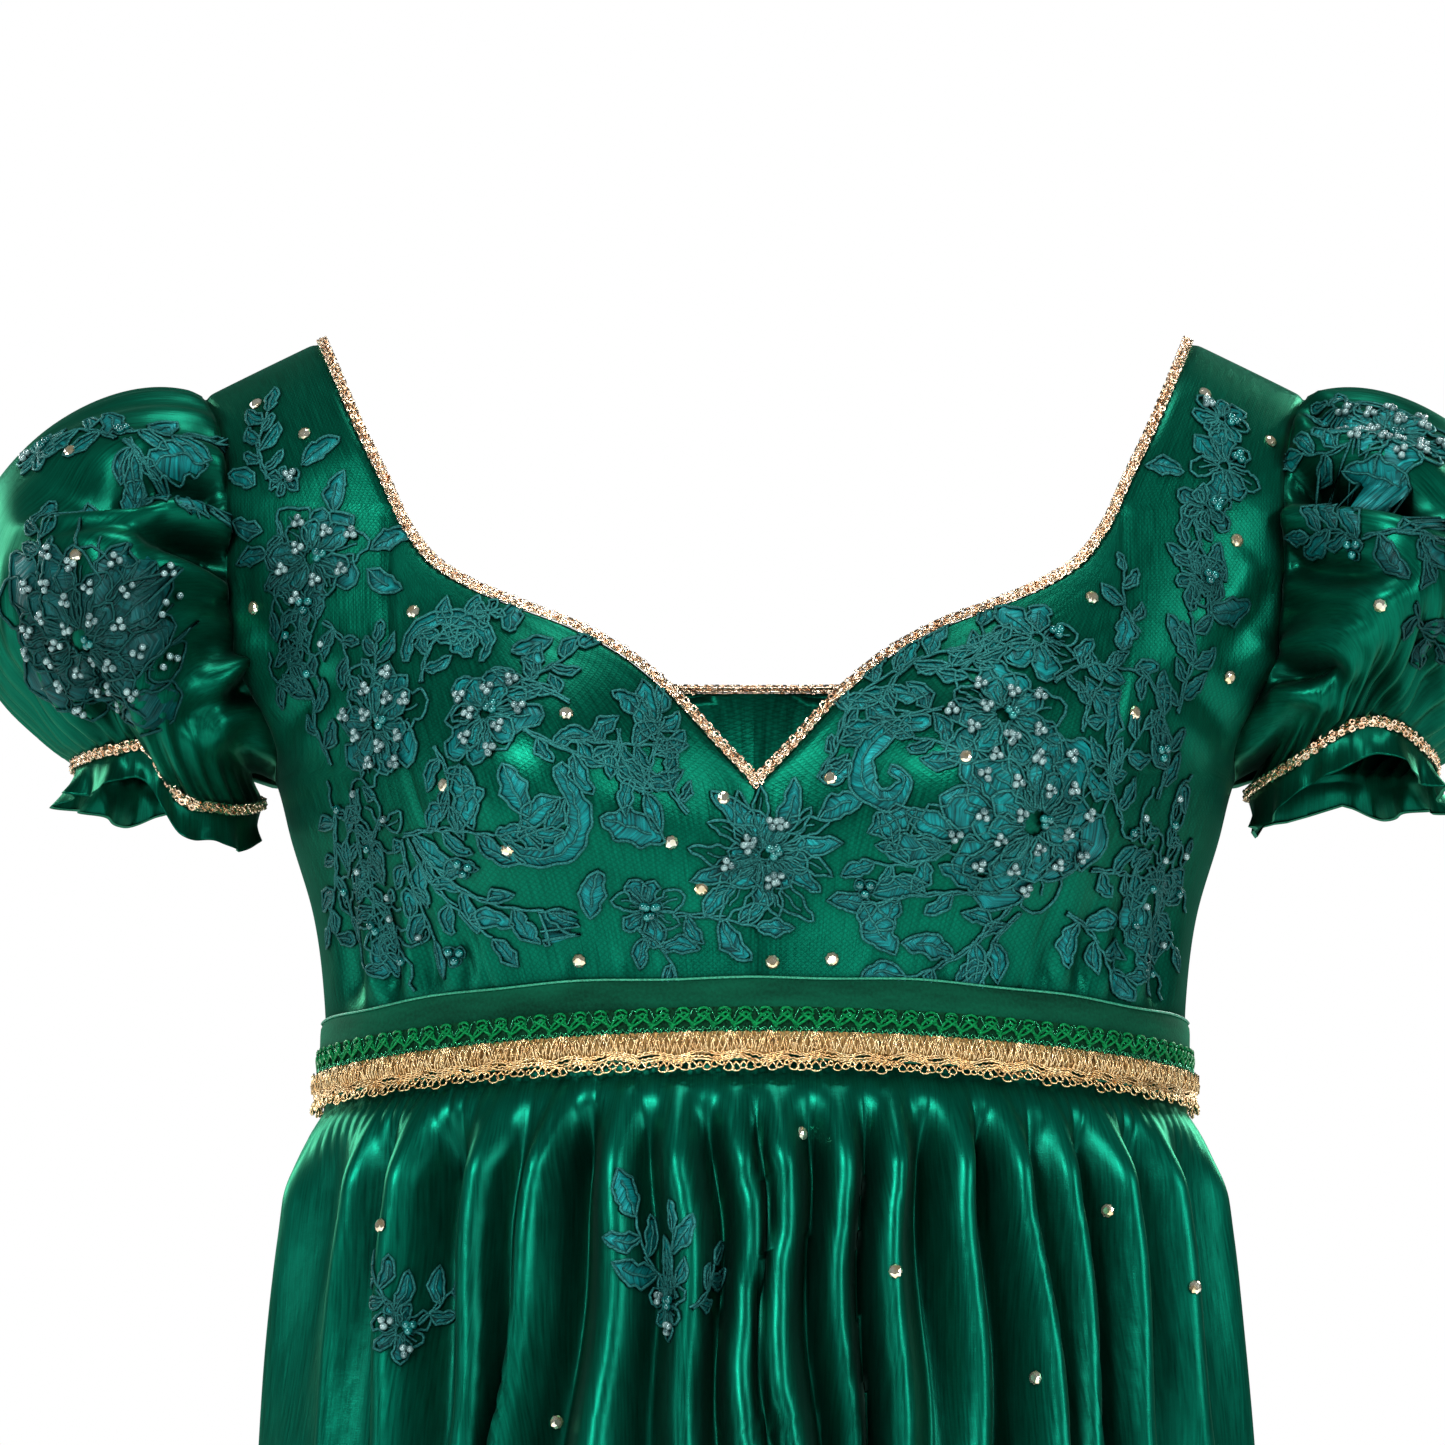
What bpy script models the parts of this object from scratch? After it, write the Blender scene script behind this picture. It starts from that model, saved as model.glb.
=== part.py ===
# A high-waisted Regency gown of satin in its worn, hollow form: bodice, puff sleeves, gathered skirt and trims.
# Metres, +Z up. The front faces -Y and the wearer's left is +X.
# The origin is midway between the shoulders, level with the straps' inside where the shoulders carry the gown.
import math
from collections import namedtuple

import bmesh
import bpy
import numpy as np

# Driving sizes
BODICE_CLOTH = 0.0016
SKIRT_CLOTH = 0.0015
SLEEVE_CLOTH = 0.0014
SEAM_GAP = 0.0004
TRIM_GAP = 0.0005
HEM_HEIGHT = -1.380
WAIST_SEAM_HEIGHT = -0.249
WAIST_ARCH = 0.009
WAIST_ARCH_FADES = (-0.205, -0.150)
UNDERARM_HEIGHT = -0.140
NECK_POINT = (0.148, 0.009)
SHOULDER_SLOPE = 0.48
SHOULDER_ROUND = 0.058
SHOULDER_WIDTH = 0.194
SHOULDER_SQUARENESS = 3.0
QUARTER = math.pi / 2

# The bodice form: one row for each level section, widest at the armholes
FormSection = namedtuple("FormSection", "height half_width front_depth back_depth squareness")
FORM = (
    FormSection(-0.262, 0.1430, 0.0970, 0.090, 2.20),
    FormSection(-0.249, 0.1430, 0.0975, 0.090, 2.20),
    FormSection(-0.214, 0.1435, 0.0990, 0.090, 2.20),
    FormSection(-0.185, 0.1475, 0.0990, 0.093, 2.20),
    FormSection(-0.160, 0.1550, 0.0980, 0.097, 2.30),
    FormSection(-0.140, 0.1605, 0.0970, 0.099, 2.50),
    FormSection(-0.125, 0.1680, 0.0950, 0.100, 2.65),
    FormSection(-0.105, 0.1810, 0.0910, 0.100, 2.80),
    FormSection(-0.060, 0.1940, 0.0800, 0.092, 3.00),
    FormSection(-0.020, 0.1940, 0.0700, 0.080, 3.00),
    FormSection(0.030, 0.1940, 0.0640, 0.072, 3.00),
)

# The cups that the bust seams shape
CUP_OUT = 0.037
CUP_CENTRE = (0.081, -0.157)
CUP_HALF_WIDTH = 0.053
CUP_ABOVE = 0.056
CUP_BELOW = 0.041

# Edges of the bodice's left half as (across, height): necks from the centre line to the shoulder,
# armholes from the underarm to the shoulder
NECK_FRONT = (
    (0.000, -0.152), (0.013, -0.139), (0.026, -0.125), (0.042, -0.111), (0.059, -0.101), (0.077, -0.0935),
    (0.093, -0.086), (0.106, -0.077), (0.115, -0.065), (0.123, -0.048), (0.132, -0.029), (0.140, -0.010), NECK_POINT,
)
NECK_BACK = (
    (0.000, -0.098), (0.040, -0.097), (0.078, -0.090), (0.108, -0.074), (0.127, -0.048), (0.138, -0.020), NECK_POINT,
)
ARMHOLE_FRONT = (
    (0.1605, -0.140), (0.1590, -0.136), (0.1600, -0.127), (0.1650, -0.116), (0.1710, -0.103), (0.1745, -0.085),
    (0.1750, -0.060), (0.1770, -0.036), (0.1820, -0.018), (0.1870, -0.0097),
)
ARMHOLE_BACK = (
    (0.1605, -0.140), (0.1575, -0.136), (0.1570, -0.127), (0.1600, -0.116), (0.1650, -0.100), (0.1690, -0.082),
    (0.1720, -0.060), (0.1760, -0.036), (0.1820, -0.018), (0.1870, -0.0097),
)
# The bust seam as (height, across), from the waist seam up to the neckline
BUST_SEAM = (
    (-0.249, 0.083), (-0.214, 0.086), (-0.185, 0.097), (-0.155, 0.109), (-0.125, 0.117), (-0.095, 0.120),
    (-0.052, 0.121),
)
BUST_SEAM_TOP = 0.685

# Shares of the way up each part of the bodice at which its rows lie
LOWER_ROWS = (0.0, 0.315, 0.42, 0.56, 0.71, 0.86, 1.0)
UPPER_FRONT_ROWS = (0.09, 0.19, 0.30, 0.41, 0.51, 0.60, BUST_SEAM_TOP, 0.77, 0.86, 0.94, 1.0)
UPPER_BACK_ROWS = (0.13, 0.30, 0.48, 0.66, 0.80, 0.91, 1.0)
CENTRE_COLUMNS = 6
SIDE_COLUMNS = 7
BACK_COLUMNS = 10

# Waist trims: top and bottom height at the side seam, thickness, and how far the lower edge stands out
Trim = namedtuple("Trim", "top bottom thick flare")
RIBBON = Trim(-0.2225, -0.2485, 0.0011, 0.0)
GIMP = Trim(-0.2305, -0.2399, 0.0014, 0.0)
GOLD_LACE = Trim(-0.2404, -0.2520, 0.0010, 0.0016)
BRAID_RADIUS = 0.0016

# The skirt: one row for each level, by the share of the way from waist seam to hem
SkirtSection = namedtuple("SkirtSection", "share half_width front_depth back_depth squareness gather fold")
SKIRT = (
    SkirtSection(0.0000, 0.1432, 0.0977, 0.0902, 2.20, 0.0000, 0.0000),
    SkirtSection(0.0035, 0.1440, 0.0985, 0.0910, 2.20, 0.0005, 0.0000),
    SkirtSection(0.0100, 0.1480, 0.1030, 0.0960, 2.19, 0.0028, 0.0004),
    SkirtSection(0.0220, 0.1520, 0.1080, 0.1022, 2.18, 0.0041, 0.0011),
    SkirtSection(0.0400, 0.1550, 0.1120, 0.1090, 2.17, 0.0046, 0.0022),
    SkirtSection(0.0700, 0.1590, 0.1165, 0.1170, 2.15, 0.0046, 0.0038),
    SkirtSection(0.1100, 0.1640, 0.1220, 0.1250, 2.13, 0.0043, 0.0058),
    SkirtSection(0.2200, 0.1790, 0.1370, 0.1460, 2.10, 0.0034, 0.0095),
    SkirtSection(0.4400, 0.2100, 0.1650, 0.1820, 2.06, 0.0020, 0.0150),
    SkirtSection(0.7000, 0.2520, 0.2010, 0.2260, 2.03, 0.0008, 0.0200),
    SkirtSection(1.0000, 0.3020, 0.2420, 0.2720, 2.00, 0.0000, 0.0245),
)
GATHERS = 40
FOLDS = 20
POINTS_PER_GATHER = 3

# The puff sleeve: how the cloth leaves the armhole and comes back to the cuff, by the turn round the arm
PuffRow = namedtuple("PuffRow", "turn leave_out leave_front leave_up return_out return_front return_up fullness")
PUFF = (
    PuffRow(0.000, 0.043, 0.000, 0.020, 0.089, 0.000, 0.058, 0.80),
    PuffRow(0.125, 0.040, 0.020, 0.018, 0.066, 0.042, 0.055, 1.00),
    PuffRow(0.250, 0.028, 0.032, 0.008, 0.030, 0.060, 0.040, 1.10),
    PuffRow(0.375, 0.016, 0.018, 0.003, 0.010, 0.030, 0.022, 0.60),
    PuffRow(0.500, 0.010, 0.000, 0.006, 0.007, 0.000, 0.012, 0.12),
    PuffRow(0.625, 0.016, -0.018, 0.003, 0.010, -0.030, 0.022, 0.60),
    PuffRow(0.750, 0.028, -0.030, 0.008, 0.030, -0.058, 0.040, 1.10),
    PuffRow(0.875, 0.040, -0.020, 0.018, 0.066, -0.042, 0.055, 1.00),
    PuffRow(1.000, 0.043, 0.000, 0.020, 0.089, 0.000, 0.058, 0.80),
)
CUFF_CENTRE = (0.1985, -0.002, -0.1385)
CUFF_HALF_WIDTH = 0.0300
CUFF_HALF_DEPTH = 0.047
CUFF_TILT = 0.004
SLEEVE_GATHERS = 18
POINTS_PER_SLEEVE_GATHER = 3
# Rows down the sleeve: share of the way to the cuff's elastic, and the depth of the gathers there
SleeveRow = namedtuple("SleeveRow", "share gather")
SLEEVE_ROWS = (
    SleeveRow(0.00, 0.0000), SleeveRow(0.07, 0.0024), SleeveRow(0.20, 0.0042), SleeveRow(0.38, 0.0036),
    SleeveRow(0.58, 0.0030), SleeveRow(0.78, 0.0030), SleeveRow(0.92, 0.0022), SleeveRow(1.00, 0.0004),
)
ELASTIC_BAND = 0.0046
RUFFLE_DROP = 0.0095
RUFFLE_FLARE = 0.0045
RUFFLE_WAVE = 0.0034

# Lace flowers on the bodice front: name, centre across, centre height, radius, petals, depth between petals, turn
Flower = namedtuple("Flower", "name across height radius petals notch start")
FLOWERS = (
    Flower("lace_flower_left_bust", 0.081, -0.166, 0.0270, 6, 0.24, 0.3),
    Flower("lace_flower_left_neck", 0.064, -0.122, 0.0150, 5, 0.28, 0.9),
    Flower("lace_flower_left_strap", 0.140, -0.066, 0.0130, 5, 0.26, 0.2),
    Flower("lace_flower_left_side", 0.128, -0.128, 0.0150, 5, 0.30, 0.5),
    Flower("lace_flower_right_bust", -0.118, -0.136, 0.0190, 6, 0.26, 0.1),
    Flower("lace_flower_right_neck", -0.079, -0.130, 0.0180, 5, 0.28, 0.7),
    Flower("lace_flower_right_strap", -0.140, -0.077, 0.0140, 5, 0.26, 0.4),
    Flower("lace_flower_right_berry", -0.026, -0.194, 0.0150, 6, 0.30, 0.6),
    Flower("lace_flower_centre", 0.002, -0.170, 0.0125, 8, 0.34, 0.2),
)
FLOWER_RING_STEP = 0.010
POINTS_PER_PETAL = 3
LACE_THICK = 0.0010
LACE_CLEAR = 0.0007

# Lace laid over the gathers, as (first, last) column on each row line of the cloth under it
SLEEVE_LACE_LEFT = ((9, 12), (8, 13), (8, 13), (9, 12))
SLEEVE_LACE_LEFT_ROW = 1
SLEEVE_LACE_RIGHT = ((10, 14), (9, 15), (10, 14))
SLEEVE_LACE_RIGHT_ROW = 4
SKIRT_LACE = ((24, 28), (23, 29), (24, 29))
SKIRT_LACE_ROW = 4
GATHERED_LACE_CLEAR = 0.0012

# Colour, roughness and metal share of each stuff
SATIN = ((0.004, 0.130, 0.075, 1.0), 0.32, 0.35)
VELVET = ((0.004, 0.050, 0.026, 1.0), 0.85, 0.0)
GIMP_GREEN = ((0.004, 0.110, 0.035, 1.0), 0.45, 0.1)
GOLD = ((0.640, 0.400, 0.160, 1.0), 0.32, 0.85)
LACE = ((0.010, 0.160, 0.150, 1.0), 0.60, 0.0)


def clear_scene():
    for existing in list(bpy.data.objects):
        bpy.data.objects.remove(existing, do_unlink=True)


def make_material(name, finish):
    colour, roughness, metallic = finish
    material = bpy.data.materials.new(name)
    material.use_nodes = True
    shader = material.node_tree.nodes["Principled BSDF"]
    shader.inputs["Base Color"].default_value = colour
    shader.inputs["Roughness"].default_value = roughness
    shader.inputs["Metallic"].default_value = metallic
    return material


def curve_through(knots, values, at):
    """A smooth curve through the knots, read at the places given."""
    knots = np.asarray(knots, float)
    values = np.asarray(values, float)
    at = np.clip(np.asarray(at, float), knots[0], knots[-1])
    slopes = np.gradient(values, knots)
    low = np.clip(np.searchsorted(knots, at, side="right") - 1, 0, len(knots) - 2)
    span = knots[low + 1] - knots[low]
    t = (at - knots[low]) / span
    rise = 3 * t**2 - 2 * t**3
    lead_in = (t**3 - 2 * t**2 + t) * span
    lead_out = (t**3 - t**2) * span
    between = values[low] * (1 - rise) + values[low + 1] * rise
    return between + slopes[low] * lead_in + slopes[low + 1] * lead_out


def column(table, name, at):
    """A named column of a table of sections, read as a smooth curve of its first column."""
    return curve_through([row[0] for row in table], [getattr(row, name) for row in table], at)


def along_edge(points, share):
    """Points a share of the way along an edge that is given as (across, height) pairs."""
    points = np.asarray(points, float)
    steps = np.linalg.norm(np.diff(points, axis=0), axis=1)
    length = np.concatenate([[0.0], np.cumsum(steps)])
    at = np.asarray(share, float) * length[-1]
    return np.stack([curve_through(length, points[:, k], at) for k in (0, 1)], axis=-1)


def signed_power(value, power):
    return np.sign(value) * np.abs(value) ** power


def unit(vectors):
    return vectors / np.linalg.norm(vectors, axis=-1, keepdims=True)


def mirrored(points):
    return points * np.array((-1.0, 1.0, 1.0))


# Bodice form. Turn runs from 0 at the centre line to 1 at the side.
# Climb is below 0 up the front, 0 to pi over the shoulder and above pi down the back.


def shoulder_line(turn):
    across = SHOULDER_WIDTH * signed_power(np.sin(turn * QUARTER), 2 / SHOULDER_SQUARENESS)
    return NECK_POINT[1] - SHOULDER_SLOPE * (np.abs(across) - NECK_POINT[0])


def waist_rise(turn, height):
    """How much higher the front's levels lie toward the centre front, where the waist is arched."""
    low, high = WAIST_ARCH_FADES
    fade = np.clip((high - height) / (high - low), 0, 1)
    return WAIST_ARCH * np.cos(turn * QUARTER) ** 2 * (3 * fade**2 - 2 * fade**3)


def form_point(turn, climb):
    turn, climb = np.broadcast_arrays(np.asarray(turn, float), np.asarray(climb, float))
    past_back = climb > math.pi
    below = np.where(climb < 0, 1 - climb, np.where(past_back, 1 + climb - math.pi, 1 - np.sin(climb)))
    toward_front = np.where(climb < 0, 1.0, np.where(past_back, -1.0, np.cos(climb)))
    height = shoulder_line(turn) - SHOULDER_ROUND * below
    angle = turn * QUARTER
    power = 2 / column(FORM, "squareness", height)
    across = column(FORM, "half_width", height) * signed_power(np.sin(angle), power)
    reach = signed_power(np.cos(angle), power)
    front = column(FORM, "front_depth", height)
    back = column(FORM, "back_depth", height)
    tall = np.where(height > CUP_CENTRE[1], CUP_ABOVE, CUP_BELOW)
    beside = ((np.abs(across) - CUP_CENTRE[0]) / CUP_HALF_WIDTH) ** 2 + ((height - CUP_CENTRE[1]) / tall) ** 2
    cup = CUP_OUT * np.exp(-beside) * (toward_front > 0.5)
    depth = np.where(toward_front >= 0, front, back) * toward_front + cup
    rise = np.where(toward_front > 0, waist_rise(turn, height), 0.0)
    return np.stack([across, -depth * reach, height + rise], axis=-1)


def outward(surface, u, v, step_u, step_v):
    """Unit normals of a surface by central differences, along u crossed with v."""
    along_u = surface(u + step_u, v) - surface(u - step_u, v)
    along_v = surface(u, v + step_v) - surface(u, v - step_v)
    return unit(np.cross(along_u, along_v))


def form_outward(turn, climb):
    return outward(form_point, turn, climb, 0.004, 0.02)


def front_climb(turn, height):
    """The climb up the front at which the form reaches a height, the waist's rise left out."""
    below = (shoulder_line(turn) - height) / SHOULDER_ROUND
    return np.where(below > 1, 1 - below, np.arcsin(np.clip(1 - below, -1, 1)))


def form_place(across, height, arched=True):
    """Turn and front climb of a point that is given by how far across and how high it lies."""
    across, height = np.asarray(across, float), np.asarray(height, float)
    level = height
    for _ in range(4):
        half_width = column(FORM, "half_width", level)
        squareness = column(FORM, "squareness", level)
        turn = np.arcsin(np.clip(across / half_width, 0, 1) ** (squareness / 2)) / QUARTER
        level = height - waist_rise(turn, level) * arched
    return turn, front_climb(turn, level)


# Solids from grids of points


def cell_corners(grid, r, c, d):
    """The four corners of a cell as (row, column), so that its shorter diagonal runs from first to third."""
    corners = [(r, c), (r, d), (r + 1, d), (r + 1, c)]
    first = np.linalg.norm(grid[r, c] - grid[r + 1, d])
    second = np.linalg.norm(grid[r, d] - grid[r + 1, c])
    return corners if first <= second else corners[1:] + corners[:1]


def solid_from(name, points, faces, material):
    mesh = bpy.data.meshes.new(name)
    mesh.from_pydata([tuple(p) for p in points], [], faces)
    body = bmesh.new()
    body.from_mesh(mesh)
    bmesh.ops.remove_doubles(body, verts=body.verts, dist=2e-6)
    bmesh.ops.triangulate(body, faces=body.faces)
    bmesh.ops.recalc_face_normals(body, faces=body.faces)
    body.to_mesh(mesh)
    body.free()
    mesh.shade_smooth()
    mesh.set_sharp_from_angle(angle=math.radians(50))
    mesh.materials.append(material)
    made = bpy.data.objects.new(name, mesh)
    bpy.context.scene.collection.objects.link(made)


def cloth_solid(name, inner, outer, material, ring=False):
    """One closed wall between two grids of points. A ring's last column joins its first."""
    rows, columns = outer.shape[:2]
    cells = columns if ring else columns - 1
    faces = []

    def at(side, corner):
        return side * rows * columns + corner[0] * columns + corner[1]

    for c in range(cells):
        d = (c + 1) % columns
        for r in range(rows - 1):
            i, j, k, m = cell_corners(outer, r, c, d)
            faces += [tuple(at(side, p) for p in three) for side in (0, 1) for three in ((i, j, k), (i, k, m))]
        for r in (0, rows - 1):
            faces.append((at(0, (r, c)), at(0, (r, d)), at(1, (r, d)), at(1, (r, c))))
    if not ring:
        for r in range(rows - 1):
            for c in (0, columns - 1):
                faces.append((at(0, (r, c)), at(0, (r + 1, c)), at(1, (r + 1, c)), at(1, (r, c))))
    solid_from(name, np.concatenate([outer.reshape(-1, 3), inner.reshape(-1, 3)]), faces, material)


def lace_over(name, grid, normal, first_row, lines, material):
    """Lace over part of a gathered cloth, made from the cloth's own outer points moved out."""
    base = grid + normal * GATHERED_LACE_CLEAR
    top = base + normal * LACE_THICK
    skin = []
    for r, ((start, end), (next_start, next_end)) in enumerate(zip(lines[:-1], lines[1:]), first_row):
        for c in range(max(start, next_start), min(end, next_end)):
            i, j, k, m = cell_corners(grid, r, c, c + 1)
            skin += [(i, j, k), (i, k, m)]
        if start > next_start:
            skin.append(((r, start), (r + 1, start), (r + 1, next_start)))
        elif start < next_start:
            skin.append(((r, start), (r, next_start), (r + 1, next_start)))
        if end < next_end:
            skin.append(((r, end), (r + 1, next_end), (r + 1, end)))
        elif end > next_end:
            skin.append(((r, next_end), (r, end), (r + 1, next_end)))
    edges = {}
    for three in skin:
        for pair in zip(three, three[1:] + three[:1]):
            key = frozenset(pair)
            edges[key] = None if key in edges else pair
    used = sorted({corner for three in skin for corner in three})
    number = {corner: index for index, corner in enumerate(used)}
    faces = [tuple(number[p] + side * len(used) for p in three) for three in skin for side in (0, 1)]
    for pair in filter(None, edges.values()):
        a, b = number[pair[0]], number[pair[1]]
        faces.append((a, b, b + len(used), a + len(used)))
    points = [base[corner] for corner in used] + [top[corner] for corner in used]
    solid_from(name, points, faces, material)


def drawn_in(grid, sides):
    """The grid with its named sides drawn in by half the seam gap."""
    grid = grid.copy()
    lines = {
        "first_column": (grid[:, 0], grid[:, 1]), "last_column": (grid[:, -1], grid[:, -2]),
        "first_row": (grid[0], grid[1]), "last_row": (grid[-1], grid[-2]),
    }
    for side in sides:
        edge, inside = lines[side]
        way = inside - edge
        edge += way / np.maximum(np.linalg.norm(way, axis=-1, keepdims=True), 1e-9) * SEAM_GAP / 2
    return grid


def both_sides(name, inner, outer, material, ring=False):
    cloth_solid(name + "_left", inner, outer, material, ring)
    cloth_solid(name + "_right", mirrored(inner), mirrored(outer), material, ring)


# Bodice panels. Each row is given by its (turn, climb) at the inner end and at the outer end.
# Climbs are the front's here, and back panels are turned over to the back at the end.


def row_ends(neck, armhole, upper_rows):
    lower = np.array(LOWER_ROWS)
    upper = np.array(upper_rows)
    centre_heights = WAIST_SEAM_HEIGHT * (1 - lower) + neck[0][1] * lower
    side_heights = WAIST_SEAM_HEIGHT * (1 - lower) + UNDERARM_HEIGHT * lower
    inner_edge, outer_edge = along_edge(neck, upper), along_edge(armhole, upper)
    inner_turn, inner_climb = form_place(inner_edge[:, 0], inner_edge[:, 1])
    outer_turn, outer_climb = form_place(outer_edge[:, 0], outer_edge[:, 1])
    inner_climb[-1] = outer_climb[-1] = QUARTER
    inner = np.concatenate([0 * lower, inner_turn]), np.concatenate([front_climb(0, centre_heights), inner_climb])
    outer = np.concatenate([0 * lower + 1, outer_turn]), np.concatenate([front_climb(1, side_heights), outer_climb])
    return inner, outer


def across_row(start, end, share):
    """Turn and climb between the ends of rows: level on the body, and along the climb up on the shoulder."""
    turn = start[0] * (1 - share) + end[0] * share
    heights = [shoulder_line(t) - SHOULDER_ROUND * np.where(c < 0, 1 - c, 1 - np.sin(c)) for t, c in (start, end)]
    level = front_climb(turn, heights[0] * (1 - share) + heights[1] * share)
    straight = start[1] * (1 - share) + end[1] * share
    on_shoulder = np.clip(start[1] / 0.9, 0, 1)
    return turn, level * (1 - on_shoulder) + straight * on_shoulder


def panel_grid(start, end, columns):
    start = tuple(part[:, None] for part in start)
    end = tuple(part[:, None] for part in end)
    return across_row(start, end, np.linspace(0, 1, columns + 1))


def walls(turn, climb, sides, tip=False):
    """Inner and outer points of a bodice panel. A tip draws the last row together into one point."""
    inner = form_point(turn, climb)
    pair = []
    for grid in (inner, inner + form_outward(turn, climb) * BODICE_CLOTH):
        grid = drawn_in(grid, sides)
        if tip:
            middle = grid[-1].mean(axis=0)
            grid[-1] = middle + unit(grid[-2].mean(axis=0) - middle) * 3 * SEAM_GAP
        pair.append(grid)
    return pair


def front_rows():
    """Row ends of the front, the bust seam's place on each row it crosses, and how many rows it crosses."""
    inner, outer = row_ends(NECK_FRONT, ARMHOLE_FRONT, UPPER_FRONT_ROWS)
    count = len(LOWER_ROWS) + UPPER_FRONT_ROWS.index(BUST_SEAM_TOP) + 1
    seam = inner[0].copy(), inner[1].copy()
    heights, across = zip(*BUST_SEAM)
    share = np.linspace(0, 1, 241)
    for row in range(count - 1):
        turn, climb = across_row((inner[0][row], inner[1][row]), (outer[0][row], outer[1][row]), share)
        point = form_point(turn, climb)
        place = float(np.interp(0.0, point[:, 0] - curve_through(heights, across, point[:, 2]), share))
        seam[0][row] = np.interp(place, share, turn)
        seam[1][row] = np.interp(place, share, climb)
    return inner, seam, outer, count


def build_bodice(satin):
    inner, seam, outer, count = front_rows()
    turn, climb = panel_grid([part[:count] for part in inner], [part[:count] for part in seam], CENTRE_COLUMNS)
    both_sides("bodice_front_centre", *walls(turn, climb, ("first_column", "last_column"), tip=True), satin)
    turn, climb = panel_grid(seam, outer, SIDE_COLUMNS)
    both_sides("bodice_front_side", *walls(turn, climb, ("first_column", "last_column", "last_row")), satin)
    inner, outer = row_ends(NECK_BACK, ARMHOLE_BACK, UPPER_BACK_ROWS)
    turn, climb = panel_grid(inner, outer, BACK_COLUMNS)
    both_sides("bodice_back", *walls(turn, math.pi - climb, ("first_column", "last_column", "last_row")), satin)


# Waist trims, each a strip from one side of the centre back round the front to the other


def waist_line(height):
    """Inside points and normals round the waist at a height, between the bodice panels' two lowest rows."""
    inner, seam, outer, _ = front_rows()
    back_inner, back_outer = row_ends(NECK_BACK, ARMHOLE_BACK, UPPER_BACK_ROWS)
    share = (height - WAIST_SEAM_HEIGHT) / (LOWER_ROWS[1] * (UNDERARM_HEIGHT - WAIST_SEAM_HEIGHT))
    points, normals = [], []
    for start, end, columns, back in (
        (inner, seam, CENTRE_COLUMNS, False), (seam, outer, SIDE_COLUMNS, False),
        (back_outer, back_inner, BACK_COLUMNS, True),
    ):
        turn, climb = panel_grid([part[:2] for part in start], [part[:2] for part in end], columns)
        climb = math.pi - climb if back else climb
        for grid, into in ((form_point(turn, climb), points), (form_outward(turn, climb), normals)):
            into.append((grid[0] * (1 - share) + grid[1] * share)[: columns + back])
    half, half_normals = np.concatenate(points), unit(np.concatenate(normals))
    rise = np.where(half[:, 1] < 0, waist_rise(np.arcsin(np.clip(half[:, 0] / 0.143, 0, 1) ** 1.1) / QUARTER, height), 0)
    half[:, 2] = height + rise
    half[-1, 0] = SEAM_GAP
    return (
        np.concatenate([mirrored(half[:0:-1]), half]),
        np.concatenate([mirrored(half_normals[:0:-1]), half_normals]),
    )


def build_waist_trim(name, trim, off, material):
    """A strip of trim that lies off the bodice's inside by off."""
    grids = []
    for through in (0.0, trim.thick):
        rows = []
        for height, flare in ((trim.bottom, trim.flare), (trim.top, 0.0)):
            points, normals = waist_line(height)
            rows.append(points + normals * (off + through + flare))
        grids.append(np.array(rows))
    cloth_solid(name, *grids, material)
    return off + trim.thick


# Skirt


def skirt_point(phase, share):
    """A point of the skirt's inside. Phase runs from 0 at the centre front to pi at the back."""
    phase, share = np.broadcast_arrays(np.asarray(phase, float), np.asarray(share, float))
    angle = phase + 0.030 * np.sin(4 * phase) + 0.014 * np.sin(10 * phase)
    gather = column(SKIRT, "gather", share) * (0.8 + 0.35 * np.sin(5 * phase + 0.6))
    fold = column(SKIRT, "fold", share) * (0.8 + 0.3 * np.sin(3 * phase + 1.1))
    wave = gather * np.cos(GATHERS * phase) + fold * np.cos(FOLDS * phase + 0.5 * np.sin(2 * phase))
    depth = np.where(np.cos(angle) >= 0, column(SKIRT, "front_depth", share), column(SKIRT, "back_depth", share))
    power = 2 / column(SKIRT, "squareness", share)
    across = (column(SKIRT, "half_width", share) + wave) * signed_power(np.sin(angle), power)
    toward = -(depth + wave) * signed_power(np.cos(angle), power)
    rise = np.where(np.cos(angle) > 0, WAIST_ARCH * np.cos(angle) ** 2, 0.0)
    top = WAIST_SEAM_HEIGHT - SEAM_GAP + rise
    return np.stack([across, toward, top * (1 - share) + HEM_HEIGHT * share], axis=-1)


def skirt_walls(first, last):
    """Inner and outer points of the skirt between two places, counted in gathers from the centre front."""
    phases = np.linspace(first, last, round((last - first) * POINTS_PER_GATHER) + 1) * 2 * math.pi / GATHERS
    phase, share = np.meshgrid(phases, [row.share for row in SKIRT])
    inner = skirt_point(phase, share)
    normal = -outward(skirt_point, phase, share, 0.006, 0.003)
    outer = inner + normal * SKIRT_CLOTH
    outer[0, :, 2] = inner[0, :, 2]
    outer[-1, :, 2] = inner[-1, :, 2]
    return inner, outer, normal


def build_skirt(satin, lace):
    side = GATHERS / 4
    for name, first, last in (
        ("skirt_front", -side, side), ("skirt_back_left", side, 2 * side), ("skirt_back_right", -2 * side, -side),
    ):
        inner, outer, normal = skirt_walls(first, last)
        sides = ("first_column", "last_column")
        cloth_solid(name, drawn_in(inner, sides), drawn_in(outer, sides), satin)
        if name == "skirt_front":
            lace_over("skirt_lace", outer, normal, SKIRT_LACE_ROW, SKIRT_LACE, lace)


# Sleeves, made for the left arm and mirrored


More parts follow.
